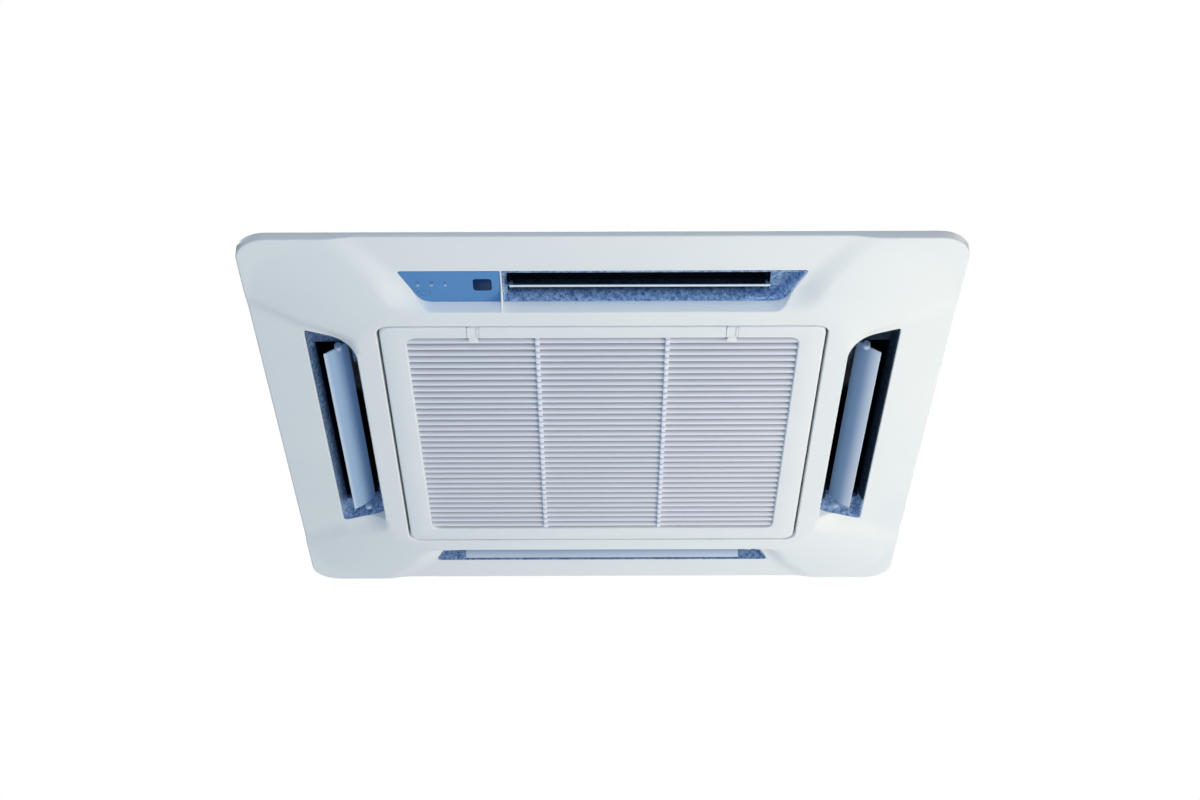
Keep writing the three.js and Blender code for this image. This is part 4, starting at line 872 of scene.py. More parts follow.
# --------------------------------------------------------------------------- the face
@dataclass
class Face:
    """The shape that the panel, the outlets and the display share."""

    half: float = 475.0
    corner: float = 43.0
    opening: float = 305.0
    opening_corner: float = 19.0
    inner: float = 337.0
    outer: float = 406.0
    end: float = 241.0
    slant: float = 28.0
    plateau: float = 32.0
    rim: float = 13.4
    edge: float = 8.5
    ridge: float = 12.5
    blend: float = 42.0
    scoop_run: float = 41.0
    scoop_curve: float = 2.5
    divider: float = 132.0
    divider_wall: float = 3.0
    fit: float = 0.5

    def height(self, x: np.ndarray, y: np.ndarray) -> np.ndarray:
        """Height of the sculpted face: a scoop before each outlet, low ridges between.

        Args:
            x: places along X.
            y: places along Y.

        Returns:
            The heights, below the ceiling and so negative.
        """
        s, t = np.maximum(np.abs(x), np.abs(y)), np.minimum(np.abs(x), np.abs(y))
        bow = np.minimum(self.half, (s**8 + t**8) ** (1 / 8))
        up = (1 - np.clip((s - self.inner) / self.scoop_run, 0, 1)) ** self.scoop_curve
        beyond = np.clip((s - self.outer) / (self.half - self.outer), 0, 1)
        along = np.clip((bow - self.inner) / (self.half - self.inner), 0, 1)
        scoop = self.rim + (self.plateau - self.rim) * up
        scoop = scoop + (self.edge - scoop) * beyond
        crest = self.plateau + (self.ridge - self.plateau) * along
        past, slope = np.maximum(s, self.inner), self.slant / (self.outer - self.inner)
        start = self.end + (past - self.inner) * slope
        start = start + np.maximum(0, past - self.outer) * slope * 0.7
        part = np.clip((t - start) / self.blend, 0, 1)
        part = part * part * (3 - 2 * part)
        return -(scoop + (crest - scoop) * part)

    def outline(
        self, side: Side, grow: float, low: End = End.SLANTED, high: End = End.SLANTED
    ) -> list[Pair]:
        """Plan of an outlet, grown all round.

        Args:
            side: the side of the panel.
            grow: how far the outline moves out, or in where negative.
            low: its end towards -t.
            high: its end towards +t.

        Returns:
            The outline's points.
        """
        near, far = self.inner - grow, self.outer + grow
        slope = self.slant / (self.outer - self.inner)
        thin = grow * 0.55 if grow > 0 else grow
        reach = [self.end + (s - self.inner) * slope + grow for s in (near, far)]
        inner_round = max(2.0, 16 + grow)
        starts, start_rounds = [-reach[0], -reach[1]], [inner_round, 6.0]
        stops, stop_rounds = [reach[1], reach[0]], [6.0, inner_round]
        if low is End.DIVIDER:
            starts, start_rounds = [-(self.divider + thin)] * 2, [1.0, 1.0]
        if high is End.DIVIDER:
            stops, stop_rounds = [-(self.divider + self.divider_wall) + thin] * 2, [1.0, 1.0]
        places = zip((near, far, far, near), starts + stops, start_rounds + stop_rounds)
        flat = rounded(list(places), 9, [10, 50, 10, 50])
        spots = [side.turn() @ Vector((x, y, 0)) for x, y in flat]
        return [(p.x, p.y) for p in spots]


FACE = Face()


@dataclass
class Panel:
    """The white face panel, its divider and its seal."""

    wall: float = 3.0
    rim_wall: float = 2.5
    edge_roll: float = 2.2
    lip_roll: float = 2.0
    opening_roll: float = 1.5
    ledge: float = -9.0
    ledge_width: float = 20.0
    rim_top: float = -9.4
    spacing: float = 6.0
    seal_half: float = 420.0
    seal_chamfer: float = 150.0
    seal_ring: tuple[Pair, ...] = ((7, -10), (7, 8), (10, 8), (10, -10))

    def borders(self) -> list[Border]:
        """Lays out the panel's outer edge, its grille opening and its outlet mouths.

        Returns:
            The borders, the outer edge first.
        """
        behind = self.ledge + self.wall

        def outer(inset: float) -> list[Pair]:
            """The panel's edge, drawn in."""
            return square_loop(FACE.half - inset, FACE.corner - inset, 12, 140)

        def opening(grow: float) -> list[Pair]:
            """The grille opening's edge, grown."""
            radius = FACE.opening_corner + min(0.0, grow) * 0.475
            return square_loop(FACE.opening + grow, radius, 10, 90)

        ledge = (
            (0, self.ledge), (-self.ledge_width, self.ledge), (-self.ledge_width, behind),
            (self.wall, behind),
        )
        made = [
            Border(outer, self.edge_roll, self.wall, ((0, 0), (self.wall, 0)), outer=True),
            Border(opening, self.opening_roll, self.wall, ledge),
        ]
        walls = ((0, self.rim_top), (self.rim_wall, self.rim_top))
        mouths = [(side, End.SLANTED, End.SLANTED) for side in Side if side is not Side.NEAR]
        mouths += [(Side.NEAR, End.DIVIDER, End.SLANTED), (Side.NEAR, End.SLANTED, End.DIVIDER)]
        for side, low, high in mouths:
            def mouth(
                grow: float, side: Side = side, low: End = low, high: End = high
            ) -> list[Pair]:
                """An outlet mouth's edge, grown."""
                return FACE.outline(side, grow, low, high)

            made.append(Border(mouth, self.lip_roll, self.rim_wall, walls))
        return made

    def build(self) -> None:
        """Builds the panel with the wall that its foam strip sits on, and dresses the strip."""
        shell = moulded_sheet(self.borders(), FACE.height, self.wall, self.spacing)
        shell.loft([
            [(x, y, z) for x, y in chamfered_square(self.seal_half, self.seal_chamfer, inset)]
            for inset, z in self.seal_ring
        ], closed=True)
        place(object_from("face_panel", shell, angle=40), PANEL_WHITE, "unit", ["panel_frame"])
        dress("panel_seal", FOAM_DARK)


# ------------------------------------------------------------------------- the outlets
@dataclass
class Outlets:
    """The four blue outlet trays with their louvers."""

    pivot_s: float = 352.0
    pivot_z: float = 5.0
    pivot_radius: float = 3.0
    pivot_reach: float = 12.0
    chord: float = 38.0
    tilt: float = math.radians(36.5)
    bow: float = 1.6
    thickness: float = 2.4
    taper: float = 0.35
    nose: float = 0.22
    heel: float = 0.3
    steps: int = 12
    end: float = 220.0
    near_start: float = -122.5
    boss: Pair = (364.0, -11.0)
    boss_radius: float = 5.2
    boss_reach: Triple = (221.5, 225.0, 229.0)

    def build(self) -> None:
        """Builds the louvers and dresses the trays and their motors."""
        for side in Side:
            start = self.near_start if side is Side.NEAR else -self.end
            shell = self.louver(start).turned(side.turn())
            # each side takes its lit or shaded copy of the blade and tray finishes: painted light
            # and shade
            blade, tray = SIDE_SHADING[side]
            piece = object_from(f"louver_blade_{side.label}", shell, angle=40)
            place(piece, blade, f"louver_{side.label}", [f"louver_{side.label}"])
            dress(f"outlet_insert_{side.label}", tray)
            dress(f"louver_motor_{side.label}", PLASTIC_WHITE, 0.5)
            if side in (Side.RIGHT, Side.LEFT):
                shell = self.bosses().turned(side.turn())
                piece = object_from(f"louver_bosses_{side.label}", shell, angle=40)
                place(piece, LOUVER_WHITE, "unit")

    def section(self) -> list[Vector]:
        """Draws the blade's bowed section with round edges.

        Returns:
            The section's points in s and z.
        """
        root = Vector((self.pivot_s + 1.5, self.pivot_z - 2.5))
        along = Vector((math.cos(self.tilt), -math.sin(self.tilt)))
        normal = Vector((-along.y, along.x))
        bend = root + along * self.chord / 2 - normal * 2 * self.bow
        tip = root + along * self.chord
        upper, lower = [], []
        for k in range(self.steps + 1):
            q = k / self.steps
            middle = root * (1 - q) ** 2 + bend * (2 * q * (1 - q)) + tip * q * q
            half = self.thickness / 2 * (1 - self.taper * q)
            upper.append(middle + normal * half)
            lower.append(middle - normal * half)
        nose = tip + along * self.thickness * self.nose
        heel = root - along * self.thickness * self.heel
        return lower + [nose] + upper[::-1] + [heel]

    def louver(self, start: float) -> Shell:
        """One louver for the +X side: blade, end arms and pivot pins.

        Args:
            start: where its blade begins along t.

        Returns:
            The louver's mesh.
        """
        shell = Shell()
        section = self.section()
        middle = Vector([sum(p[i] for p in section) for i in (0, 1)]) / len(section)
        rings = []
        for t, shrink in ((start, 0.97), (start + 0.5, 1), (self.end - 0.5, 1), (self.end, 0.97)):
            ring = [middle + (p - middle) * shrink for p in section]
            rings.append([(p.x, t, p.y) for p in ring])
        shell.loft(rings)
        s, z = self.pivot_s, self.pivot_z
        arm = rounded([
            (s - 4, z + 4, 2), (s - 4, z - 4, 2), (s + 6, z - 8, 2), (s + 9, z - 4, 2),
            (s + 4, z + 4, 2),
        ], 4)
        for t in (start + 1.5, self.end - 1.5):
            shell.loft([[(u, t + side, v) for u, v in arm] for side in (-1.5, 1.5)])
        low = start - self.pivot_reach * (0.55 if start > -self.end else 1)
        for t0, t1 in ((low, start + 1), (self.end - 1, self.end + self.pivot_reach)):
            shell.bar([(s, t0 + (t1 - t0) * k / 2, z) for k in range(3)], self.pivot_radius)
        return shell

    def bosses(self) -> Shell:
        """Builds the two round bosses on the end walls of the +X side's tray.

        Returns:
            The bosses' mesh.
        """
        shell = Shell()
        s, z = self.boss
        for way in (-1, 1):
            shell.bar([(s, way * t, z) for t in self.boss_reach], self.boss_radius, 24)
        return shell


# ------------------------------------------------------------------------ the display
@dataclass
class Display:
    """The blue display plate with its lamps, receiver window and button."""

    level: float = -13.4
    plate: float = 2.5
    wall: float = 2.0
    rim: float = 6.0
    edge_roll: float = 0.6
    hole_roll: float = 0.4
    hole_margin: float = 0.8
    lamps: Triple = (-243.5, -225.5, -207.5)
    lamp_y: float = -375.0
    lamp_radius: float = 2.7
    receiver: tuple[float, float, float, float, float] = (-158.5, -376.0, 24.3, 26.3, 5.0)
    button: tuple[float, float, float, float, float] = (-236.5, -359.0, 17.0, 8.0, 4.0)

    def borders(self) -> list[Border]:
        """Lays out the plate's outer edge and its holes.

        Returns:
            The borders, the outer edge first.
        """
        top = self.level + self.plate

        def outer(inset: float) -> list[Pair]:
            """The plate's edge, drawn in."""
            return FACE.outline(Side.NEAR, -FACE.fit - inset, End.SLANTED, End.DIVIDER)

        rim = ((0, top + self.rim), (self.wall, top + self.rim))
        made = [Border(outer, self.edge_roll, self.wall, rim, outer=True)]
        for shape in (self.receiver, self.button):
            def slot(grow: float, shape: tuple[float, ...] = shape) -> list[Pair]:
                """The edge of a hole for the receiver or the button, grown."""
                x, y, width, height, radius = shape
                return rounded_box(x, y, width + 2 * grow, height + 2 * grow, radius + grow)

            made.append(Border(slot, self.hole_roll, self.hole_margin, ((0.0, top),)))
        for x in self.lamps:
            def eye(grow: float, x: float = x) -> list[Pair]:
                """The edge of a lamp's hole, grown."""
                return circle(self.lamp_radius + grow, 24, x, self.lamp_y)

            made.append(Border(eye, self.hole_roll, self.hole_margin, ((0.0, top),)))
        return made

    def build(self) -> None:
        """Builds the plate and its printed signs, and dresses what shows through it."""
        shell = moulded_sheet(
            self.borders(), lambda x, y: np.full(len(x), self.level), self.plate, 40.0
        )
        place(object_from("display_plate", shell), DISPLAY_BLUE, "unit", ["display_bezel"])
        place(object_from("display_signs", self.signs()), PRINT_BLUE, "unit")
        dress("ir_window", SMOKED_LENS, 0.4)
        dress("manual_button", DISPLAY_BLUE, 0.4)
        dress("lamp_guide", LAMP_CLEAR, 0.2)
        dress("display_board", BOARD_GREEN)

    def signs(self) -> Shell:
        """Draws a dot in a ring, a clock and three bars by the lamps, and a bar by the button.

        Returns:
            The signs' mesh.
        """
        shell = Shell()
        y = self.lamp_y - 7.5
        dot, clock, bars = self.lamps
        for x in (dot, clock):
            angles = [math.radians(20 * k) for k in range(19)]
            ring = [(x + 2.2 * math.cos(a), y + 2.2 * math.sin(a)) for a in angles]
            for start, stop in zip(ring, ring[1:]):
                self.line(shell, start, stop, 0.45)
        self.line(shell, (clock, y), (clock, y - 1.6))
        self.line(shell, (clock, y), (clock + 1.3, y))
        self.line(shell, (dot, y - 1.0), (dot, y + 1.0))
        for k in (-1, 0, 1):
            self.line(shell, (bars - 2, y + 1.6 * k), (bars + 2, y + 1.6 * k))
        x, by = self.button[0], self.button[1] + 7.0
        self.line(shell, (x - 6, by), (x + 6, by))
        return shell

    def line(self, shell: Shell, start: Pair, stop: Pair, width: float = 0.5) -> None:
        """Prints a straight line on the plate.

        Args:
            shell: the mesh that takes it.
            start: where it begins.
            stop: where it ends.
            width: its width.
        """
        a, b = Vector(start), Vector(stop)
        across = Vector((-(b - a).y, (b - a).x)).normalized() * width / 2
        corners = [a - across, b - across, b + across, a + across]
        shell.prism([(p.x, p.y) for p in corners], self.level - 0.04, self.level + 0.1)


# ----------------------------------------------------------------- repeated by nodes
class NodeMaker:
    """A Geometry Nodes tree in the making, with named inputs for its sizes."""

    def __init__(self, name: str, **inputs: str) -> None:
        """Starts a modifier tree that puts out one mesh.

        Args:
            name: the tree's name.
            inputs: the kind of each named input: Float, Int, Vector, Object or Material.
        """
        self.tree = bpy.data.node_groups.new(name, "GeometryNodeTree")
        self.tree.is_modifier = True
        sockets = self.tree.interface
        sockets.new_socket("Mesh", in_out="OUTPUT", socket_type="NodeSocketGeometry")
        entry = self.tree.nodes.new("NodeGroupInput")
        self.identifiers: dict[str, str] = {}
        self.given: dict[str, Socket] = {}
        for key, kind in inputs.items():
            made = sockets.new_socket(key, in_out="INPUT", socket_type=f"NodeSocket{kind}")
            self.identifiers[key] = made.identifier
            self.given[key] = entry.outputs[key]

    def node(self, kind: str, **inputs: object) -> bpy.types.Node:
        """Adds a geometry node, its kind without the word that they share."""
        return add_node(self.tree, "GeometryNode" + kind, **inputs)

    def vector(self, **parts: object) -> Socket:
        """Joins X, Y and Z parts."""
        return add_node(self.tree, "ShaderNodeCombineXYZ", **parts).outputs[0]

    def scaled(self, value: Socket, by: float) -> Socket:
        """Multiplies a size by a number."""
        return calculate(self.tree, "MULTIPLY", value, by)

    def line(self, length: Socket) -> Socket:
        """A straight curve along X, centred on the origin."""
        start, end = (self.vector(X=self.scaled(length, part)) for part in (-0.5, 0.5))
        return self.node("CurvePrimitiveLine", Start=start, End=end).outputs["Curve"]

    def on_points(self, shape: Socket) -> Socket:
        """Sets a shape on every point of Points, turned by its turn attribute.

        Args:
            shape: the shape to copy.

        Returns:
            The copies.
        """
        where = self.node("ObjectInfo", Object=self.given["Points"])
        turn = add_node(
            self.tree, "GeometryNodeInputNamedAttribute", {"data_type": "FLOAT_VECTOR"},
            Name="turn",
        )
        return self.node(
            "InstanceOnPoints", Points=where.outputs["Geometry"], Instance=shape,
            Rotation=turn.outputs["Attribute"],
        ).outputs["Instances"]

    def finish(self, geometry: Socket) -> "NodeMaker":
        """Ends the tree in Realize Instances and Set Material.

        Args:
            geometry: what the tree has made.

        Returns:
            The finished tree.
        """
        real = self.node("RealizeInstances", Geometry=geometry).outputs["Geometry"]
        done = self.node("SetMaterial", Geometry=real, Material=self.given["Material"])
        add_node(self.tree, "NodeGroupOutput", Mesh=done.outputs["Geometry"])
        return self

    def grow(self, name: str, angle: float, **values: object) -> Object:
        """Runs the tree and keeps its result as a plain mesh.

        Args:
            name: the piece's name.
            angle: edges bent more than this many degrees stay sharp.
            values: a value for each named input.

        Returns:
            The piece.
        """
        made = bpy.data.objects.new(name, bpy.data.meshes.new(name))
        bpy.context.scene.collection.objects.link(made)
        modifier = made.modifiers.new(name, "NODES")
        modifier.node_group = self.tree
        for key, value in values.items():
            modifier[self.identifiers[key]] = value
        return baked(made, angle)


def slat_tree() -> NodeMaker:
    """Makes a tree that lays equal slats of rounded section side by side along Y.

    Returns:
        The tree.
    """
    maker = NodeMaker(
        "slats", Length="Float", Depth="Float", Thickness="Float", Ease="Float",
        Tilt="Float", Pitch="Float", Count="Int", First="Vector", Material="Material",
    )
    given = maker.given
    section = maker.node(
        "CurvePrimitiveQuadrilateral", Width=given["Depth"], Height=given["Thickness"]
    )
    eased = maker.node("FilletCurve", Curve=section.outputs["Curve"], Radius=given["Ease"])
    if hasattr(eased, "mode"):
        eased.mode = "POLY"
    eased.inputs["Count"].default_value = 3
    slat = maker.node(
        "CurveToMesh", Curve=maker.line(given["Length"]), Profile_Curve=eased.outputs["Curve"],
        Fill_Caps=True,
    )
    row = maker.node(
        "MeshLine", Count=given["Count"], Start_Location=given["First"],
        Offset=maker.vector(Y=given["Pitch"]),
    )
    laid = maker.node(
        "InstanceOnPoints", Points=row.outputs["Mesh"], Instance=slat.outputs["Mesh"],
        Rotation=maker.vector(X=given["Tilt"]),
    )
    return maker.finish(laid.outputs["Instances"])


def fastener_tree() -> NodeMaker:
    """Makes a tree that sets a hexagon head with a washer on every point.

    Returns:
        The tree.
    """
    maker = NodeMaker(
        "fasteners", Points="Object", Material="Material", Radius="Float", Height="Float"
    )
    radius, height = maker.given["Radius"], maker.given["Height"]
    both = maker.node("JoinGeometry")
    for sides, wide, deep, up in ((20, 1.0, 0.3, 0.1), (6, 0.68, 0.9, 0.55)):
        part = maker.node(
            "MeshCylinder", Vertices=sides, Radius=maker.scaled(radius, wide),
            Depth=maker.scaled(height, deep),
        )
        moved = maker.node(
            "Transform", Geometry=part.outputs["Mesh"],
            Translation=maker.vector(Z=maker.scaled(height, up)),
        )
        maker.tree.links.new(moved.outputs["Geometry"], both.inputs["Geometry"])
    return maker.finish(maker.on_points(both.outputs["Geometry"]))


def bead_tree() -> NodeMaker:
    """Makes a tree that sets a low rounded bead, pressed out of the sheet, on every point.

    Returns:
        The tree.
    """
    maker = NodeMaker(
        "beads", Points="Object", Material="Material", Length="Float", Width="Float",
        Height="Float",
    )
    section = maker.node("CurvePrimitiveCircle", Resolution=16, Radius=0.5)
    fine = maker.node("ResampleCurve", Curve=maker.line(maker.given["Length"]), Count=24)
    along = maker.node("SplineParameter").outputs["Factor"]
    taper = add_node(maker.tree, "ShaderNodeFloatCurve", Value=along)
    curve = taper.mapping.curves[0]
    curve.points[0].location = (0.0, 0.0)
    curve.points[1].location = (1.0, 0.0)
    for x, y in ((0.02, 0.75), (0.06, 1.0), (0.94, 1.0), (0.98, 0.75)):
        curve.points.new(x, y)
    taper.mapping.update()
    bar = maker.node(
        "CurveToMesh", Curve=fine.outputs["Curve"], Profile_Curve=section.outputs["Curve"],
        Scale=taper.outputs[0], Fill_Caps=True,
    )
    size = maker.vector(X=1.0, Y=maker.given["Width"], Z=maker.scaled(maker.given["Height"], 2.0))
    flat = maker.node("Transform", Geometry=bar.outputs["Mesh"], Scale=size)
    return maker.finish(maker.on_points(flat.outputs["Geometry"]))


def rib_tree() -> NodeMaker:
    """Makes a tree that stands a thin plate on every point.

    Returns:
        The tree.
    """
    maker = NodeMaker("ribs", Points="Object", Material="Material", Size="Vector")
    plate = maker.node("MeshCube", Size=maker.given["Size"])
    return maker.finish(maker.on_points(plate.outputs["Mesh"]))


def repeated(
    name: str, maker: NodeMaker, spots: Sequence[Spot], finish: Finish, **values: object
) -> None:
    """Sets copies of a tree's shape at places with turns, as one piece of the unit.

    Args:
        name: the piece's name.
        maker: the tree, with Points and Material among its inputs.
        spots: each copy's place in millimetres and its turn.
        finish: the copies' finish.
        values: the tree's other inputs.
    """
    mesh = bpy.data.meshes.new(name + "_spots")
    mesh.from_pydata([tuple(c * MM for c in at) for at, _ in spots], [], [])
    turns = mesh.attributes.new("turn", "FLOAT_VECTOR", "POINT")
    turns.data.foreach_set("vector", [c for _, turn in spots for c in turn])
    holder = bpy.data.objects.new(name + "_spots", mesh)
    bpy.context.scene.collection.objects.link(holder)
    made = maker.grow(name, 40, Points=holder, Material=finish.material(), **values)
    bpy.data.objects.remove(holder)
    place(made, finish, "unit")


# -------------------------------------------------------------------------- the grille
@dataclass
class Grille:
    """The hinged return grille: frame, slats, cross bars, latches and filter."""

    half: float = 301.5
    corner: float = 19.0
    bottom: float = -32.0
    top: float = -20.0
    ease: float = 3.0
    window_ease: float = 2.0
    frame: float = 35.0
    near_frame: float = 26.0
    window_corner: float = 16.0
    pitch: float = 15.3
    slat_depth: float = 11.0
    slat_thickness: float = 2.2
    slat_ease: float = 0.8
    slat_tilt: float = math.radians(-40)
    bar_at: float = 88.5
    bar_width: float = 6.0
    stud: float = 3.2
    stud_length: float = 9.0
    latch_at: float = 175.0
    latch_width: float = 16.0
    slot_end: float = -277.5
    hinge_at: float = 175.0
    hinge_width: float = 22.0
    hinge_y: float = 294.0
    hinge_z: float = -26.5
    pin_radius: float = 2.0

    def __post_init__(self) -> None:
        """Works out the window's half width and its near edge; its far edge is the half."""
        self.window = self.half - self.frame
        self.near = self.near_frame - self.half

    def build(self) -> None:
        """Builds the frame, slats, bars and latches, and dresses the rest."""
        piece = object_from("grille_frame", self.frame_ring(), angle=40)
        carve(piece, self.slots())
        place(piece, GRILLE_WHITE, "grille", ["return_grille"])
        # the slats and the bars take the slat finish with its painted shade towards their tops
        place(self.slats(), SLAT_WHITE, "grille")
        place(object_from("grille_bars", self.bars(), 0.8), SLAT_WHITE, "grille")
        for word, x in (("left", -self.latch_at), ("right", self.latch_at)):
            piece = object_from(f"latch_slide_{word}", self.latch(x), 0.35)
            place(piece, PANEL_WHITE, f"latch_{word}", [f"latch_{word}"])
            dress(f"hinge_clip_{word}", PLASTIC_WHITE, 0.3)
        dress("air_filter", FILTER_MESH)

    def frame_ring(self) -> Shell:
        """Builds the frame, a square ring with a soft outer edge and a soft window edge.

        Returns:
            The frame's mesh.
        """
        split = 12
        middle, deep = (self.near + self.window) / 2, self.window - self.near

        def outer(inset: float, z: float) -> list[Triple]:
            """The frame's outer edge, drawn in, at a level."""
            half, radius = self.half - inset, self.corner - inset * 0.6
            outline = rounded_box(0, 0, 2 * half, 2 * half, radius, 8, split)
            return [(x, y, z) for x, y in outline]

        def inner(grow: float, z: float) -> list[Triple]:
            """The window's edge, grown, at a level."""
            outline = rounded_box(
                0, middle, 2 * (self.window + grow), deep + 2 * grow,
                self.window_corner + grow, 8, split,
            )
            return [(x, y, z) for x, y in outline]

        angles = [k / 4 * math.pi / 2 for k in range(5)]
        ease, roll = self.ease, self.window_ease
        rings = [outer(0.6, self.top), outer(0, self.top - 0.6)]
        rings += [outer(ease * (1 - math.cos(a)), self.bottom + ease * (1 - math.sin(a)))
                  for a in angles]
        rings += [inner(roll * (1 - math.sin(a)), self.bottom + roll * (1 - math.cos(a)))
                  for a in angles]
        rings.append(inner(0, self.top))
        shell = Shell()
        shell.loft(rings, closed=True)
        return shell

    def slots(self) -> list[Shell]:
        """Builds the cuts for the latches, with their shallow ends, and for the hinges.

        Returns:
            The cuts that go through and the shallow ones.
        """
        through, shallow = Shell(), Shell()
        half = self.latch_width / 2 + 0.5
        for x in (-self.latch_at, self.latch_at):
            through.block(x - half, x + half, -self.half - 1, self.slot_end,
                          self.bottom - 1, self.top + 1)
            shallow.block(x - half, x + half, self.slot_end - 2, self.near + 1,
                          self.bottom - 1, self.bottom + 1.5)
        half = self.hinge_width / 2
        for x in (-self.hinge_at, self.hinge_at):
            through.block(x - half, x + half, self.hinge_y - 12, self.half + 1,
                          self.bottom + 2, self.top + 1)
        return [through, shallow]

    def slat_places(self) -> list[float]:
        """Works out the slats' middles.

        Returns:
            Their places along Y.
        """
        count = int((self.window - self.near) / self.pitch)
        first = (self.near + self.window) / 2 - (count - 1) * self.pitch / 2
        return [first + self.pitch * k for k in range(count)]

    def slats(self) -> Object:
        """Lays the slats by Geometry Nodes.

        Returns:
            The piece.
        """
        places = self.slat_places()
        middle = (self.bottom + 1.5 + self.top - 1) / 2
        return slat_tree().grow(
            "grille_slats", 45, Length=(2 * self.window + 2) * MM, Depth=self.slat_depth * MM,
            Thickness=self.slat_thickness * MM, Ease=self.slat_ease * MM, Tilt=self.slat_tilt,
            Pitch=self.pitch * MM, Count=len(places), First=(0.0, places[0] * MM, middle * MM),
            Material=SLAT_WHITE.material(),
        )

    def bars(self) -> Shell:
        """Builds two cross bars, with a stud under the edge of each slat, and the hinge pins.

        Returns:
            The bars' and pins' mesh.
        """
        shell = Shell()
        half = self.bar_width / 2
        low = self.bottom + 0.4
        for x in (-self.bar_at, self.bar_at):
            shell.block(x - half, x + half, self.near - 1, self.window + 1, low + self.stud,
                        self.top - 1)
            for y in self.slat_places():
                front = y - self.stud_length / 2 + 1
                shell.block(x - half, x + half, front, front + self.stud_length,
                            low, low + self.stud + 1)
        reach = self.hinge_width / 2 + 2
        for x in (-self.hinge_at, self.hinge_at):
            places = [(x + side, self.hinge_y, self.hinge_z) for side in (-reach, 0, reach)]
            shell.bar(places, self.pin_radius)
        return shell

    def latch(self, x: float) -> Shell:
        """One sliding latch: plate, two grip ridges, flared end and tongue.

        Args:
            x: the middle of the latch.

        Returns:
            The latch's mesh.
        """
        shell = Shell()
        half, near = self.latch_width / 2, self.near
        front = -self.half + 0.5
        low = self.bottom - 0.45
        face = low + 1.9
        shell.block(x - half + 1, x + half - 1, front, near - 0.5, low + 1.1, face)
        for side in (-1, 1):
            ridge = rounded_box(x + side * (half - 1.6), (front + near - 2.5) / 2, 3.2,
                                near - 2.5 - front, 1.2, 3)
            shell.prism(ridge, low, face)
        end = rounded([
            (x - half + 2.5, near - 1.5, 1), (x + half - 2.5, near - 1.5, 1),
            (x + half, near + 10, 1.5), (x - half, near + 10, 1.5),
        ], 3)
        shell.prism(end, low, face)
        shell.block(x - half, x + half, front, front + 15, low + 1.6, self.top - 1)
        shell.block(x - half + 1, x + half - 1, front - 8, front + 1,
                    self.bottom + 5, self.bottom + 9)
        return shell


# ---------------------------------------------------------------------------- the body
DOWN: Triple = (math.pi, 0.0, 0.0)
PLAIN_NODES = {
    "foam_liner": FOAM_WHITE, "drain_pan": FOAM_DARK, "fan_motor": MOTOR_CAN,
    "motor_shaft": STEEL, "fan_impeller": FAN_GREY, "fan_nut": STEEL,
    "bell_mouth": PLASTIC_BLACK, "heat_exchanger": ALUMINIUM_FINS,
    "coil_header": COPPER, "gas_pipe": COPPER, "liquid_pipe": COPPER,
    "gas_flare_nut": BRASS, "liquid_flare_nut": BRASS, "drain_plug": RUBBER,
    "drain_pump": PLASTIC_WHITE, "pump_impeller": PLASTIC_BLACK,
    "float_switch_stem": PLASTIC_BLACK, "float_switch_float": PLASTIC_WHITE,
    "drain_hose": RUBBER, "drain_socket": PLASTIC_BLACK,
    "control_board": BOARD_GREEN, "terminal_block": PLASTIC_BLACK,
}


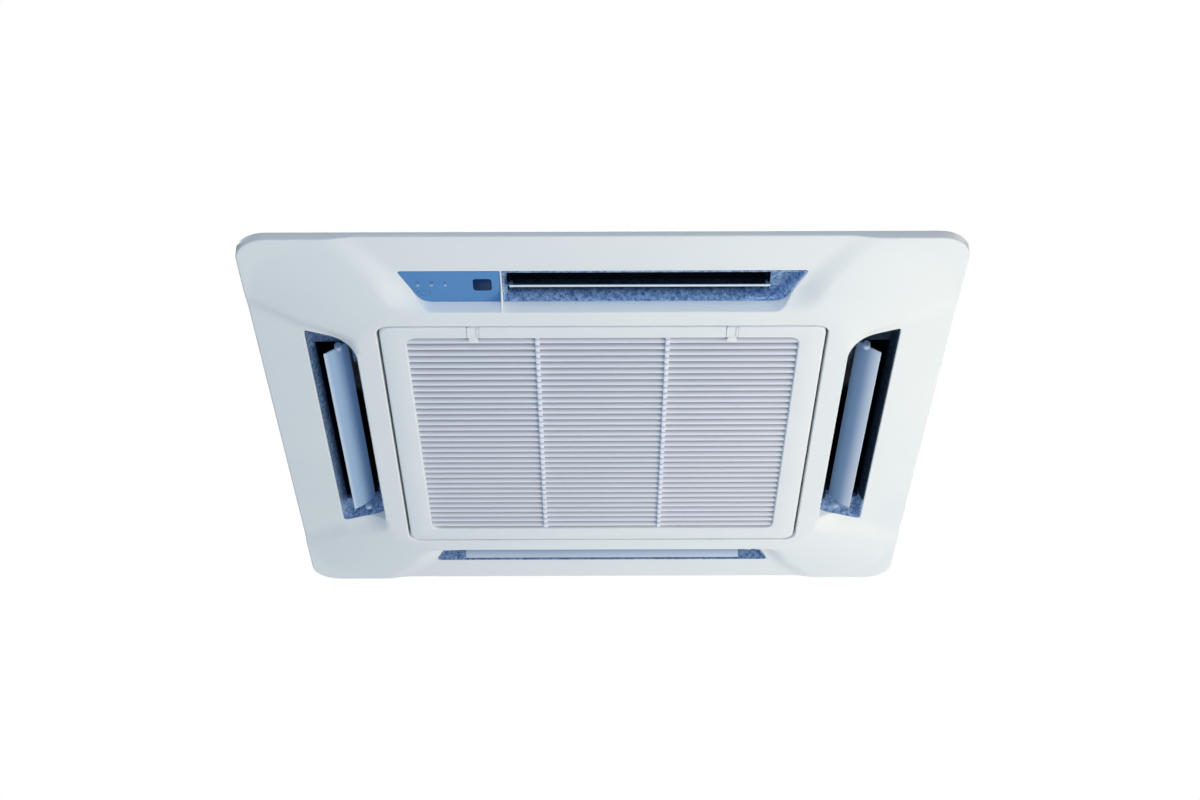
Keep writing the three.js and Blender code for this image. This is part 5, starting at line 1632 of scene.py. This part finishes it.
@dataclass
class Body:
    """The body above the ceiling: casing, fan, coil, pan, pipes and controls."""

    half: float = 420.0
    chamfer: float = 150.0
    base: float = 20.0
    top: float = 265.0
    sheet: float = 2.0
    lid_ribs: Triple = (252.0, 231.0, 8.0)
    bead_section: Pair = (16.0, 2.2)
    bead_length: float = 440.0
    bead_levels: Pair = (75.0, 205.0)
    lid_bead_length: float = 150.0
    lid_bead_at: float = 270.0
    rim_screws: tuple[float, ...] = (-236.0, -80.0, 80.0, 236.0)
    foot_screws: Pair = (-236.0, 236.0)
    corner_screws: Pair = (-78.0, 78.0)
    screw: Pair = (4.8, 3.2)
    bolt_aside: float = 17 / math.sqrt(2)
    bracket_wall: float = 3.0 / math.sqrt(2)
    bell_screw: float = 0.89 * 291.0
    cover_screws: tuple[float, ...] = (143.0, -274.0, -228.0, -11.1)
    terminals: tuple[float, ...] = (83.85, 11.7, -251.0, 7.9)
    motor_feet: Pair = (86.0, 247.0)
    back_rib: Triple = (32.0, 1.5, 7.6)
    back_rib_at: Pair = (446.0, -5.2)
    back_rib_pitch: float = 40.0
    rib_slope: tuple[Pair, ...] = ((0, -0.5), (0, 0), (2.5, 2.2), (5, 3))
    pad_slope: tuple[Pair, ...] = ((142, -0.5), (142, 0), (137, 1.8), (130, 2.4))
    skirt: float = 14.0
    skirt_wall: float = 1.2
    bracket: Triple = (370.0, 320.0, 236.0)
    cover_half: float = 47.0
    cover_level: float = 122.5
    pipes: tuple[Pair, Pair] = ((150.0, 8.0), (95.0, 4.8))
    bell_level: float = 17.7
    panel_screw: float = 291.0
    ledge: float = -9.0

    def __post_init__(self) -> None:
        """Works out how far the corner faces and the pipes' cover are from the centre."""
        self.corner_face = (2 * self.half - self.chamfer) / math.sqrt(2)
        self.cover_face = self.corner_face + 0.3 + self.sheet

    def build(self) -> None:
        """Builds the lid, the beads and the fasteners, and dresses the body's nodes."""
        self.dress_nodes()
        lid = object_from("casing_lid", self.lid(), 0.5)
        smooth(lid, 14.0)
        place(lid, GALVANIZED, "unit", ["casing_top_plate"])
        self.beads()
        self.casing_screws()
        self.other_fasteners()
        self.grommets()
        self.panel_ribs()

    def dress_nodes(self) -> None:
        """Gives the nodes that stay their finishes."""
        dress("casing_side_shell", GALVANIZED)
        for node in ("pipe_cover_plate", "tube_sheet_right", "tube_sheet_far",
                     "control_box", "control_box_cover"):
            dress(node, GALVANIZED, 0.4)
        for word in ("far_right", "far_left", "near_left", "near_right"):
            dress(f"hanger_bracket_{word}", STEEL, 0.6)
        for node, finish in PLAIN_NODES.items():
            dress(node, finish)

    def octagon(self, inset: float, level: float) -> list[Triple]:
        """The casing's outline drawn in by an inset, at a level."""
        return [(x, y, level) for x, y in chamfered_square(self.half, self.chamfer, inset)]

    def lid(self) -> Shell:
        """Builds the lid, a plate with a folded skirt, two long ribs and a raised round pad.

        Returns:
            The lid's mesh.
        """
        shell = Shell()
        top, low, wall = self.top, self.top - self.skirt, self.skirt_wall
        shell.loft([self.octagon(0, top - self.sheet), self.octagon(0, top)])
        folded = ((-wall, low), (-wall, top), (-0.1, top), (-0.1, low))
        shell.loft([self.octagon(*place) for place in folded], closed=True)
        reach, aside, half = self.lid_ribs
        for side in (-1, 1):
            rings = []
            for inset, rise in self.rib_slope:
                outline = rounded_box(0, side * aside, 2 * (reach - inset),
                                      2 * (half + 1 - inset), half + 0.9 - inset, 8)
                rings.append([(x, y, top + rise) for x, y in outline])
            shell.loft(rings)
        shell.loft([
            [(x, y, top + rise) for x, y in circle(radius, 64)]
            for radius, rise in self.pad_slope
        ])
        return shell

    def spot(self, angle: float, reach: float, aside: float, level: float) -> Spot:
        """A place on an upright face that looks out at an angle in degrees, and its turn."""
        turn = math.radians(angle)
        return (*turned_spot(reach, aside, turn), level), (math.pi / 2, 0.0, turn + math.pi / 2)

    def beads(self) -> None:
        """Lays pressed beads on the casing's sides and diagonal ones on its lid."""
        width, height = self.bead_section
        on_sides = [self.spot(90 * quarter, self.half, 0, level)
                    for quarter in range(4) for level in self.bead_levels]
        turns = [turn + math.pi / 4 for turn in QUARTERS]
        on_lid = [((*turned_spot(self.lid_bead_at, 0, turn), self.top), (0.0, 0.0, turn))
                  for turn in turns]
        sets = (
            ("casing_beads", on_sides, self.bead_length),
            ("lid_beads", on_lid, self.lid_bead_length),
        )
        for name, spots, length in sets:
            repeated(name, bead_tree(), spots, GALVANIZED, Length=length * MM,
                     Width=width * MM, Height=height * MM)

    def casing_screws(self) -> None:
        """Sets the screws of the lid, the casing's foot and the pipes' cover."""
        outer, foot, rim = self.half + self.skirt_wall, self.base + 14, self.top - 7
        corner = self.corner_face + self.skirt_wall
        spots: list[Spot] = []
        for angle in (0.0, 90.0, 180.0, 270.0):
            spots += [self.spot(angle, outer, t, rim) for t in self.rim_screws]
            spots += [self.spot(angle, self.half, t, foot) for t in self.foot_screws]
            spots += [self.spot(angle + 45, corner, t, rim) for t in self.corner_screws]
        aside, middle = self.cover_half, self.cover_level
        spots += [self.spot(45, self.cover_face, across * aside, middle + up * aside)
                  for across in (-1, 1) for up in (-1, 1)]
        radius, height = self.screw
        repeated("casing_screws", fastener_tree(), spots, STEEL, Radius=radius * MM,
                 Height=height * MM)

    def other_fasteners(self) -> None:
        """Sets the brackets' bolts, the screws inside and the motor's rubber mounts."""
        x, y, level = self.bracket
        bolts: list[Spot] = []
        for sx, sy in ((sx, sy) for sx in (-1, 1) for sy in (-1, 1)):
            turn = (math.pi / 2, 0.0, math.atan2(sy, sx) + math.pi / 2)
            for slide in (-self.bolt_aside, self.bolt_aside):
                out = self.bracket_wall
                bolts.append(((sx * (x + out + slide), sy * (y + out - slide), level), turn))
        corners, bell = (
            [(at, at), (-at, at), (-at, -at), (at, -at)]
            for at in (self.panel_screw, self.bell_screw)
        )
        aside, near, far, cover_level = self.cover_screws
        cover = [(x, y, cover_level) for x in (-aside, aside) for y in (near, far)]
        first, pitch, along, post = self.terminals
        reach, foot_level = self.motor_feet
        feet = [turned_spot(reach, 0, math.radians(30 + 120 * k)) for k in range(3)]
        terminals = [(first + pitch * k, along, post) for k in range(5)]
        panel = [(*spot, self.ledge) for spot in corners]
        inner = [(*spot, self.bell_level) for spot in bell] + cover
        mounts = [(*spot, foot_level) for spot in feet]
        sets = (
            ("bracket_bolts", bolts, STEEL, 8.0, 6.0),
            ("panel_screws", [(at, DOWN) for at in panel], STEEL, 6.0, 3.0),
            ("inner_screws", [(at, DOWN) for at in inner], STEEL, 4.5, 2.2),
            ("terminal_screws", [(at, DOWN) for at in terminals], BRASS, 3.6, 3.0),
            ("motor_mounts", [(at, DOWN) for at in mounts], RUBBER, 11.0, 9.0),
        )
        for name, spots, finish, radius, height in sets:
            repeated(name, fastener_tree(), spots, finish, Radius=radius * MM,
                     Height=height * MM)

    def grommets(self) -> None:
        """Puts a rubber grommet round each pipe where it leaves through its cover."""
        shell = Shell()
        out = self.cover_face / math.sqrt(2)
        turn = Matrix.Rotation(math.radians(45), 4, "Z") @ Matrix.Rotation(math.pi / 2, 4, "Y")
        for level, radius in self.pipes:
            ring = Shell()
            ring.revolve([
                (radius + 0.4, -0.5), (radius + 5, -0.5), (radius + 5, 1.2),
                (radius + 3.5, 2.6), (radius + 1.5, 2.8), (radius + 0.4, 1.8),
            ], 32)
            shell.add(ring.turned(Matrix.Translation((out, out, level)) @ turn))
        place(object_from("pipe_grommets", shell), RUBBER, "unit")

    def panel_ribs(self) -> None:
        """Stands stiffening ribs on the back of the panel's border."""
        reach, level = self.back_rib_at
        spots = [
            ((*turned_spot(reach, self.back_rib_pitch * k, turn), level), (0.0, 0.0, turn))
            for turn in QUARTERS for k in range(-6, 7)
        ]
        size = tuple(length * MM for length in self.back_rib)
        repeated("panel_back_ribs", rib_tree(), spots, PANEL_WHITE, Size=size)


# --------------------------------------------------------------------------- the studio
def mixed(tree: Tree, factor: Socket, first: Socket, second: Socket) -> Socket:
    """Mixes two shaders by a factor from 0 for the first to 1 for the second."""
    return add_node(tree, "ShaderNodeMixShader", _0=factor, _1=first, _2=second).outputs[0]


@dataclass(frozen=True)
class Lamp:
    """A soft square lamp that faces the panel, its power in watts and its colour 8-bit."""

    name: str
    at: Triple
    size: float
    power: float
    colour: Triple

    def build(self) -> None:
        """Adds the lamp."""
        data = bpy.data.lights.new(self.name, "AREA")
        data.size = self.size * MM
        data.energy = self.power
        data.color = linear(self.colour)[:3]
        made = bpy.data.objects.new(self.name, data)
        spot = Vector(self.at) * MM
        made.location = spot
        made.rotation_euler = (-spot).to_track_quat("-Z", "Y").to_euler()
        made.visible_camera = False
        bpy.context.scene.collection.objects.link(made)


LAMPS = (
    Lamp("key", (1750.0, -350.0, -1500.0), 1300.0, 30.0, (255, 241, 214)),
    Lamp("fill", (-400.0, -1900.0, -1900.0), 2400.0, 8.0, (186, 217, 250)),
    Lamp("far", (600.0, 2300.0, -1400.0), 2400.0, 17.0, (230, 238, 246)),
    Lamp("front", (0.0, -2600.0, -450.0), 900.0, 12.0, (236, 241, 248)),
    Lamp("above", (-1500.0, 700.0, 1300.0), 700.0, 14.0, (255, 250, 242)),
)


@dataclass
class Studio:
    """Camera, lamps, white surroundings, the ceiling board and the floor far below."""

    lens: float = 63.28
    place: Triple = (-9.9, -2656.0, -1607.0)
    pitch: float = math.radians(31.82)
    yaw: float = math.radians(0.147)
    roll: float = math.radians(-0.255)
    floor: float = -4900.0
    floor_reach: float = 30000.0
    ceiling_reach: float = 1100.0
    ceiling_hole: float = 472.0
    ceiling_level: float = 0.4
    ceiling_glow: float = 0.05
    surroundings: Triple = (208, 223, 238)
    surroundings_strength: float = 0.58
    floor_seen: Triple = (236, 238, 240)

    def build(self) -> None:
        """Sets up the camera, the lamps, the world, the floor and the ceiling."""
        bpy.context.scene.view_settings.view_transform = "Standard"
        self.camera()
        self.world()
        for lamp in LAMPS:
            lamp.build()
        self.ground()
        self.ceiling()

    def camera(self) -> None:
        """Places the camera at the photograph's viewing angle."""
        ahead = Vector((
            math.sin(self.yaw) * math.cos(self.pitch), math.cos(self.yaw) * math.cos(self.pitch),
            math.sin(self.pitch),
        ))
        right = Vector((math.cos(self.yaw), -math.sin(self.yaw), 0))
        up = right.cross(ahead)
        tilted_right = right * math.cos(self.roll) + up * math.sin(self.roll)
        tilted_up = up * math.cos(self.roll) - right * math.sin(self.roll)
        turn = Matrix((tilted_right, tilted_up, -ahead)).transposed().to_4x4()
        data = bpy.data.cameras.new("camera")
        data.lens = self.lens
        data.sensor_width = 36.0
        data.clip_start = 0.05
        data.clip_end = 100.0
        made = bpy.data.objects.new("camera", data)
        made.matrix_world = Matrix.Translation(Vector(self.place) * MM) @ turn
        bpy.context.scene.collection.objects.link(made)
        bpy.context.scene.camera = made

    def world(self) -> None:
        """White where the camera, a gloss or a glass looks, a soft cool light elsewhere."""
        world = bpy.data.worlds.new("surroundings")
        world.use_nodes = True
        tree = world.node_tree
        tree.nodes.clear()
        seen = add_node(tree, "ShaderNodeBackground", Color=(1, 1, 1, 1))
        soft = add_node(
            tree, "ShaderNodeBackground", Color=linear(self.surroundings),
            Strength=self.surroundings_strength,
        )
        rays = add_node(tree, "ShaderNodeLightPath").outputs
        either = calculate(
            tree, "MAXIMUM", rays["Is Camera Ray"], rays["Is Transmission Ray"]
        )
        white = calculate(tree, "MAXIMUM", either, rays["Is Glossy Ray"])
        mix = mixed(tree, white, soft.outputs[0], seen.outputs[0])
        add_node(tree, "ShaderNodeOutputWorld", Surface=mix)
        bpy.context.scene.world = world

    def ground(self) -> None:
        """Lays a plain pale floor below every view's camera."""
        shell = Shell()
        reach = self.floor_reach
        shell.block(-reach, reach, -reach, reach, self.floor - 40, self.floor)
        made = object_from("floor", shell)
        finish = Finish("floor_pale", "panel_white", (238, 239, 240), (240, 241, 242),
                        Pattern.FOAM, scale=3.0, roughness=0.9, relief=0.05)
        paint = finish.material()
        tree = paint.node_tree
        rays = add_node(tree, "ShaderNodeLightPath").outputs
        pale = add_node(tree, "ShaderNodeEmission", Color=linear(self.floor_seen))
        shader, out = tree.nodes["Principled BSDF"], tree.nodes["Material Output"]
        mix = mixed(tree, rays["Is Camera Ray"], shader.outputs[0], pale.outputs[0])
        tree.links.new(mix, out.inputs["Surface"])
        made.data.materials.append(paint)

    def ceiling(self) -> None:
        """Hangs a plain white ceiling board round the panel, which only shows from below."""
        shell = Shell()
        outer, inner = (
            shell.ring([(half, -half, self.ceiling_level), (half, half, self.ceiling_level),
                        (-half, half, self.ceiling_level), (-half, -half, self.ceiling_level)])
            for half in (self.ceiling_reach, self.ceiling_hole)
        )
        shell.bridge(outer, inner)
        made = object_from("ceiling", shell)
        if made.data.polygons[0].normal.z > 0:
            made.data.flip_normals()
        made.data.materials.append(self.ceiling_material())

    def ceiling_material(self) -> bpy.types.Material:
        """Makes a white that is dim to the panel's edge and open from above.

        Returns:
            The material.
        """
        made = bpy.data.materials.new("ceiling_white")
        made.use_nodes = True
        tree = made.node_tree
        tree.nodes.clear()
        rays = add_node(tree, "ShaderNodeLightPath").outputs
        level = add_node(
            tree, "ShaderNodeMapRange", Value=rays["Is Camera Ray"], To_Min=self.ceiling_glow
        )
        plain = add_node(tree, "ShaderNodeEmission", Strength=level.outputs["Result"])
        clear = add_node(tree, "ShaderNodeBsdfTransparent")
        above = add_node(tree, "ShaderNodeNewGeometry").outputs["Backfacing"]
        mix = mixed(tree, above, plain.outputs[0], clear.outputs[0])
        add_node(tree, "ShaderNodeOutputMaterial", Surface=mix)
        return made


def main() -> None:
    """Builds the object's parts in order and the studio round them."""
    logging.basicConfig(level=logging.INFO, format="%(name)s %(message)s")
    Studio().build()
    for part in (Panel(), Outlets(), Display(), Grille(), Body()):
        part.build()
        LOG.info("%s is built", type(part).__name__)


if __name__ == "__main__":
    main()
